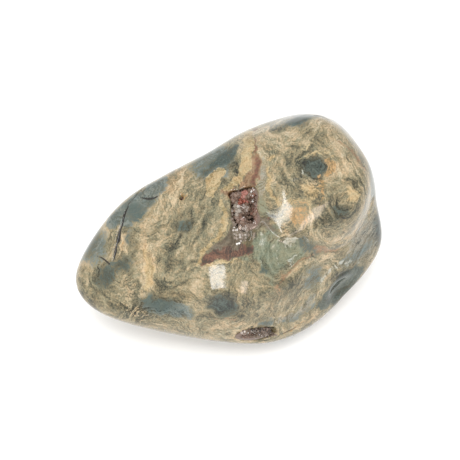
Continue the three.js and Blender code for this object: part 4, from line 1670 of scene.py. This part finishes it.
@dataclass(frozen=True)
class Growth:
    """A patch of crystals.

    It covers an oval at a pixel. Widths and lengths are the least and greatest in millimetres, stain is how
    red the crystals are and pale how pale, each from 0 to 1, and rise is how much of each one stands clear.
    """

    at: Pixel
    reach: tuple[float, float]
    count: int
    width: tuple[float, float]
    length: tuple[float, float]
    stain: float = 0.0
    pale: float = 0.5
    rise: float = 0.55
    turn: float = 0.0


class MainPocket(Enum):
    """The crystals of the pocket in the vein, and of the shallow hollow at its foot."""

    WALL = Growth((243.5, 207.5), (13, 19.5), 70, (0.5, 0.95), (0.6, 1.0), stain=0.12, pale=0.42, rise=0.4)
    SPUR = Growth((234, 196), (3.2, 4), 9, (0.7, 1.0), (0.7, 0.9), stain=0.12, pale=0.3, rise=0.2)
    PINK = Growth(
        (244.5, 194), (2.2, 4.2), 8, (0.5, 0.75), (0.7, 0.95), stain=0.75, pale=0.75, rise=0.6, turn=-25
    )
    RED = Growth(
        (242.5, 201.5), (4.6, 2.4), 11, (0.5, 0.7), (0.6, 0.9), stain=0.75, pale=0.6, rise=0.7, turn=20
    )
    GREY = Growth((235.5, 209), (4.5, 6), 12, (0.6, 0.9), (0.6, 0.9), pale=0.58)
    MIDDLE = Growth((245, 208.5), (4, 4), 9, (0.45, 0.7), (0.6, 0.9), stain=0.1, pale=0.64, rise=0.55)
    RED_FOOT = Growth((240, 219.5), (6, 2.2), 8, (0.45, 0.7), (0.5, 0.8), stain=0.3, pale=0.62, rise=0.4)
    RIGHT_EDGE = Growth((256, 214), (1, 11), 15, (0.45, 0.7), (0.5, 0.7), stain=0.22, pale=0.45, rise=0.25)
    LEFT_EDGE = Growth(
        (233, 216), (1.6, 9), 12, (0.5, 0.8), (0.5, 0.8), stain=0.05, pale=0.45, rise=0.4, turn=10
    )
    RED_WALL = Growth((253.5, 205), (1.6, 15), 16, (0.4, 0.65), (0.4, 0.6), stain=0.35, pale=0.42, rise=0.25)
    DARK_HEART = Growth((250, 217), (2.8, 4.5), 9, (0.4, 0.6), (0.4, 0.6), pale=0.0)
    # painted glints: near-white crystals where the pocket's crystals catch the light
    UPPER_PAINTED_GLINTS = Growth((253, 190), (2.4, 2), 3, (0.22, 0.3), (0.4, 0.6), pale=1.0, rise=0.8)
    WALL_PAINTED_GLINTS = Growth((252.7, 199.5), (0.8, 4), 3, (0.2, 0.3), (0.4, 0.6), pale=1.0, rise=0.8)
    HEART_PAINTED_GLINT = Growth((247, 209.5), (0.6, 0.6), 1, (0.2, 0.28), (0.4, 0.6), pale=1.0, rise=0.9)
    THRESHOLD = Growth(
        (245, 228), (9, 3.2), 16, (0.5, 0.8), (0.6, 0.9), stain=0.05, pale=0.5, rise=0.12, turn=12
    )
    FOOT = Growth((241, 233), (8.5, 9), 26, (0.6, 1.0), (0.6, 0.9), stain=0.03, pale=0.6, rise=0.16)
    # painted glints: near-white crystals on the foot, at its lower end and on the lip
    FOOT_PAINTED_GLINTS = Growth((240, 228), (7, 4), 6, (0.18, 0.28), (0.4, 0.55), pale=0.95, rise=0.6)
    LOW_PAINTED_GLINT = Growth((238, 243.5), (1.8, 1), 2, (0.25, 0.35), (0.4, 0.5), pale=1.0, rise=0.7)
    LIP_PAINTED_GLINTS = Growth((254.5, 222), (2.2, 1.8), 4, (0.2, 0.3), (0.4, 0.5), stain=0.1, pale=0.9, rise=0.45)


class LowerPocket(Enum):
    """The crystals of the small pocket at the lower edge."""

    WALL = Growth(
        (259, 333), (16, 4.5), 60, (0.3, 0.6), (0.4, 0.7), stain=0.03, pale=0.36, rise=0.3, turn=-4
    )
    RED_SIDE = Growth((247, 335), (6, 3), 16, (0.3, 0.5), (0.4, 0.6), stain=0.22, pale=0.5, rise=0.3)
    LEFT_END = Growth((244.5, 332.5), (3, 2.6), 8, (0.4, 0.6), (0.5, 0.7), stain=0.1, pale=0.6, rise=0.3)
    RIGHT_END = Growth((272, 334.5), (4, 2.2), 10, (0.4, 0.6), (0.5, 0.7), stain=0.05, pale=0.5, rise=0.25)
    FOOT = Growth((257, 336.3), (12, 1.3), 14, (0.35, 0.55), (0.4, 0.6), stain=0.05, pale=0.5, rise=0.2)
    # painted shadow: near-black crystals under the pocket's overhanging upper lip
    ARCH_PAINTED_SHADOW = Growth((258, 329.5), (8, 1.8), 14, (0.35, 0.55), (0.4, 0.6), pale=0.05, rise=0.35)
    SIDE_PAINTED_SHADOW = Growth((270, 332), (2.5, 2.5), 8, (0.35, 0.55), (0.4, 0.6), pale=0.05, rise=0.35)
    # painted glints: near-white crystals where the crystals catch the light
    PAINTED_GLINTS = Growth((251, 332), (7, 2), 5, (0.18, 0.28), (0.35, 0.5), pale=0.9, rise=0.5)


# each crystal of a patch is turned by this from the one before, which spreads them evenly over it
GOLDEN_TURN = math.radians(137.508)
# steps through the wobble that give neighbours a lean, a size and a shade of their own
LEAN_STEP = 1.7
SIZE_STEP = 2.3
SHADE_STEP = 5.1


@dataclass
class CrystalCrust:
    """The crust of one pocket: the CAD crust, brought to the wall, with many smaller points grown over it."""

    name: str
    node: str
    growths: tuple[Growth, ...]
    portrait: Portrait
    stone: bpy.types.Object
    # how much the crust is swollen to meet the wall, and how far it is sunk into it, in millimetres
    gap: float = 0.26
    sink: float = 0.45
    crust_stain: float = 0.1
    crust_pale: float = 0.3
    # one crystal, a millimetre wide and long: its column, how that narrows, and its tip, a little off centre
    column: float = 0.6
    taper: float = 0.88
    tip: tuple[float, float] = (0.12, 0.2)
    tip_shift: tuple[float, float] = (0.04, 0.02)
    # how far crystals lean at random and towards the eye, how they turn, and how far their shades spread
    lean: float = 1.1
    lean_out: float = 0.6
    spin: float = 2.4
    spread: float = 0.3

    def build(self) -> bpy.types.Object:
        """Grows the crystals and joins them to the crust.

        Returns:
            The piece that stands for the CAD node.
        """
        crust = copy_merged(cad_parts[self.node], self.name)
        bpy.ops.object.mode_set(mode="EDIT")
        bpy.ops.mesh.select_all(action="SELECT")
        bpy.ops.transform.shrink_fatten(value=self.gap * MM)
        bpy.ops.object.mode_set(mode="OBJECT")
        outward = sum((side.normal * side.area for side in crust.data.polygons), Vector()).normalized()
        crust.data.transform(Matrix.Translation(outward * -self.sink * MM))
        self.colour(crust, self.crust_stain, self.crust_pale)
        wall = self.wall(crust)
        point = self.crystal()
        grown = []
        for growth in self.growths:
            for number in range(growth.count):
                copy = self.grow(point, wall, growth, number)
                if copy is not None:
                    grown.append(copy)
        bpy.data.objects.remove(point)
        select_only(crust)
        for copy in grown:
            copy.select_set(True)
        bpy.ops.object.join()
        bpy.ops.object.shade_flat()
        log.info("%s: %d crystals", self.name, len(grown))
        return crust

    def wall(self, crust: bpy.types.Object) -> BVHTree:
        """The surface that the crystals grow on, of the crust and the stone together.

        Args:
            crust: the CAD crust, brought to the wall.

        Returns:
            The surface, which a line of sight can be cast on.
        """
        corners: list[Vector] = []
        sides: list[tuple[int, ...]] = []
        for piece in (crust, self.stone):
            start = len(corners)
            corners += [v.co.copy() for v in piece.data.vertices]
            sides += [tuple(start + i for i in side.vertices) for side in piece.data.polygons]
        return BVHTree.FromPolygons(corners, sides)

    def crystal(self) -> bpy.types.Object:
        """Models one crystal: a six-sided column, narrowed a little, with its end drawn to a point.

        Returns:
            The crystal, one millimetre wide and long, standing on the origin.
        """
        bpy.ops.object.select_all(action="DESELECT")
        middle = (0, 0, self.column / 2)
        bpy.ops.mesh.primitive_cylinder_add(vertices=6, radius=0.5, depth=self.column, location=middle)
        point = bpy.context.object
        bpy.ops.object.mode_set(mode="EDIT")
        bpy.ops.mesh.select_all(action="DESELECT")
        bpy.ops.mesh.select_mode(type="FACE")
        bpy.ops.object.mode_set(mode="OBJECT")
        # of its sides only the top faces up, and the others face level or down
        for side in point.data.polygons:
            side.select = side.normal.z > 0.5
        bpy.ops.object.mode_set(mode="EDIT")
        bpy.ops.transform.resize(value=(self.taper, self.taper, 1))
        rise = (*self.tip_shift, 1 - self.column)
        bpy.ops.mesh.extrude_region_move(TRANSFORM_OT_translate={"value": rise})
        bpy.ops.transform.resize(value=(*self.tip, 1))
        bpy.ops.object.mode_set(mode="OBJECT")
        bpy.ops.object.transform_apply(location=True, rotation=True, scale=True)
        return point

    def grow(
        self, point: bpy.types.Object, wall: BVHTree, growth: Growth, number: int
    ) -> bpy.types.Object | None:
        """Copies the crystal onto a spot of the pocket's wall.

        Args:
            point: the crystal to copy.
            wall: the surface that it grows on.
            growth: the patch of crystals.
            number: which crystal of the patch it is.

        Returns:
            The copy, or None where there is no wall.
        """
        share = math.sqrt((number + 0.5) / growth.count)
        around = number * GOLDEN_TURN
        turn = math.radians(growth.turn)
        across = share * growth.reach[0] * math.cos(around)
        down = share * growth.reach[1] * math.sin(around)
        pixel = (
            growth.at[0] + across * math.cos(turn) + down * math.sin(turn),
            growth.at[1] - across * math.sin(turn) + down * math.cos(turn),
        )
        eye, ray = self.portrait.ray(pixel)
        hit, normal, _, _ = wall.ray_cast(eye, ray)
        if hit is None:
            return None
        seed = Vector((number * LEAN_STEP, growth.at[0], growth.at[1]))
        lean = Vector(wobble.noise_vector(seed)) * self.lean
        out = (normal + lean - ray * self.lean_out).normalized()
        size = (1 + wobble.noise(seed * SIZE_STEP)) / 2
        wide = growth.width[0] + (growth.width[1] - growth.width[0]) * size
        long = growth.length[0] + (growth.length[1] - growth.length[0]) * size
        stand = out.to_track_quat("Z", "X").to_matrix().to_4x4()
        spin = Matrix.Rotation(number * self.spin, 4, "Z")
        grown = Matrix.Diagonal((wide * MM, wide * MM, long * MM, 1))
        rooted = Matrix.Translation(hit - out * long * MM * (1 - growth.rise))
        copy = bpy.data.objects.new(f"{self.name}_{number}", point.data.copy())
        copy.data.transform(rooted @ stand @ spin @ grown)
        bpy.context.scene.collection.objects.link(copy)
        shift = wobble.noise(seed * SHADE_STEP) * self.spread
        self.colour(copy, growth.stain * (1 + shift), growth.pale + shift)
        return copy

    def colour(self, piece: bpy.types.Object, stain: float, pale: float) -> None:
        """Writes how red and how pale a piece is into its mesh.

        Args:
            piece: the crust or a crystal.
            stain: how red it is, kept between 0 and 1.
            pale: how pale it is, kept between 0 and 1.
        """
        for name, value in (("stain", stain), ("pale", pale)):
            attribute = piece.data.attributes.new(name, "FLOAT", "POINT")
            attribute.data.foreach_set("value", [min(max(value, 0.0), 1.0)] * len(piece.data.vertices))


@dataclass(frozen=True)
class PaleFloor:
    """Matt white board: it scatters the light back up and shows as plain white."""

    colour: str = "#F4F4F3"
    roughness: float = 0.9
    sheen: float = 0.2

    def build(self) -> bpy.types.Material:
        """Makes the material.

        Returns:
            The material.
        """
        material = bare_material("matt white board")
        surface = add_node(
            material.node_tree,
            "ShaderNodeBsdfPrincipled",
            {"Base Color": srgb(self.colour), "Roughness": self.roughness, "Specular IOR Level": self.sheen},
        )
        add_node(material.node_tree, "ShaderNodeOutputMaterial", {"Surface": surface.outputs["BSDF"]})
        return material


@dataclass(frozen=True)
class SoftBox:
    """One softbox: its middle in face millimetres, its sides, its watts, and whether the polish mirrors it.

    The two that are mirrored stand where the photograph's two highlights come from.
    """

    name: str
    at: tuple[float, float, float]
    sides: tuple[float, float]
    watts: float
    colour: str = "#FFFFFF"
    mirrored: bool = True


@dataclass
class Studio:
    """The pale floor, the white surroundings and the softboxes, with the floor's side in millimetres."""

    face: FaceFrame
    floor_side: float = 3000.0
    surroundings: str = "#FBFCFD"
    surround_strength: float = 1.1
    boxes: tuple[SoftBox, ...] = (
        SoftBox("left_softbox", (-104, -160, 380), (56, 330), 0.6),
        SoftBox("right_softbox", (95.3, -326, 380), (56, 368), 0.42, "#FFE6DC"),
        SoftBox("upper_fill", (-20, 200, 350), (420, 300), 1.15, mirrored=False),
    )

    def build(self) -> None:
        """Lays the floor and sets up the light."""
        bpy.ops.object.select_all(action="DESELECT")
        bpy.ops.mesh.primitive_plane_add(size=self.floor_side * MM, location=(0, 0, 0))
        floor = bpy.context.object
        floor.name = "floor"
        floor.data.materials.append(PaleFloor().build())
        world = bpy.data.worlds.new("white surroundings")
        world.use_nodes = True
        world.node_tree.nodes.clear()
        glow = add_node(
            world.node_tree,
            "ShaderNodeBackground",
            {"Color": srgb(self.surroundings), "Strength": self.surround_strength},
        )
        add_node(world.node_tree, "ShaderNodeOutputWorld", {"Surface": glow.outputs["Background"]})
        bpy.context.scene.world = world
        for box in self.boxes:
            self.hang(box)
        view = bpy.context.scene.view_settings
        view.view_transform = "Standard"
        view.look = "None"
        log.info("studio: floor and %d softboxes", len(self.boxes))

    def hang(self, box: SoftBox) -> None:
        """Hangs one softbox, square to the picture as the eye sees it.

        Args:
            box: the softbox.
        """
        light = bpy.data.lights.new(box.name, "AREA")
        light.shape = "RECTANGLE"
        light.size = box.sides[0] * MM
        light.size_y = box.sides[1] * MM
        light.energy = box.watts
        light.color = srgb(box.colour)[:3]
        lamp = bpy.data.objects.new(box.name, light)
        lamp.location = self.face.to_stone() @ Vector(box.at)
        lamp.rotation_euler = self.face.turned().to_euler()
        lamp.visible_glossy = box.mirrored
        bpy.context.scene.collection.objects.link(lamp)


def main() -> None:
    """Builds the stone, its crystals and the studio, and reports each."""
    logging.basicConfig(level=logging.INFO, format="%(name)s: %(message)s")
    wobble.seed_set(WOBBLE_SEED)
    face = FaceFrame()
    portrait = Portrait(face)
    portrait.aim()
    stone = PolishedStone(face, portrait).build(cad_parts["stone"])
    stone.data.materials.clear()
    stone.data.materials.append(PolishedJasper().build())
    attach(stone, "root")
    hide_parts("stone")
    quartz = QuartzPoints().build()
    main_growths, lower_growths = (tuple(g.value for g in pocket) for pocket in (MainPocket, LowerPocket))
    crusts = (
        CrystalCrust("pocket_crystals", "druse", main_growths, portrait, stone),
        CrystalCrust("lower_pocket_crystals", "lower_druse", lower_growths, portrait, stone, sink=0.8),
    )
    for crust in crusts:
        piece = crust.build()
        piece.data.materials.clear()
        piece.data.materials.append(quartz)
        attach(piece, "root")
        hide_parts(crust.node)
    Studio(face).build()


if __name__ == "__main__":
    main()
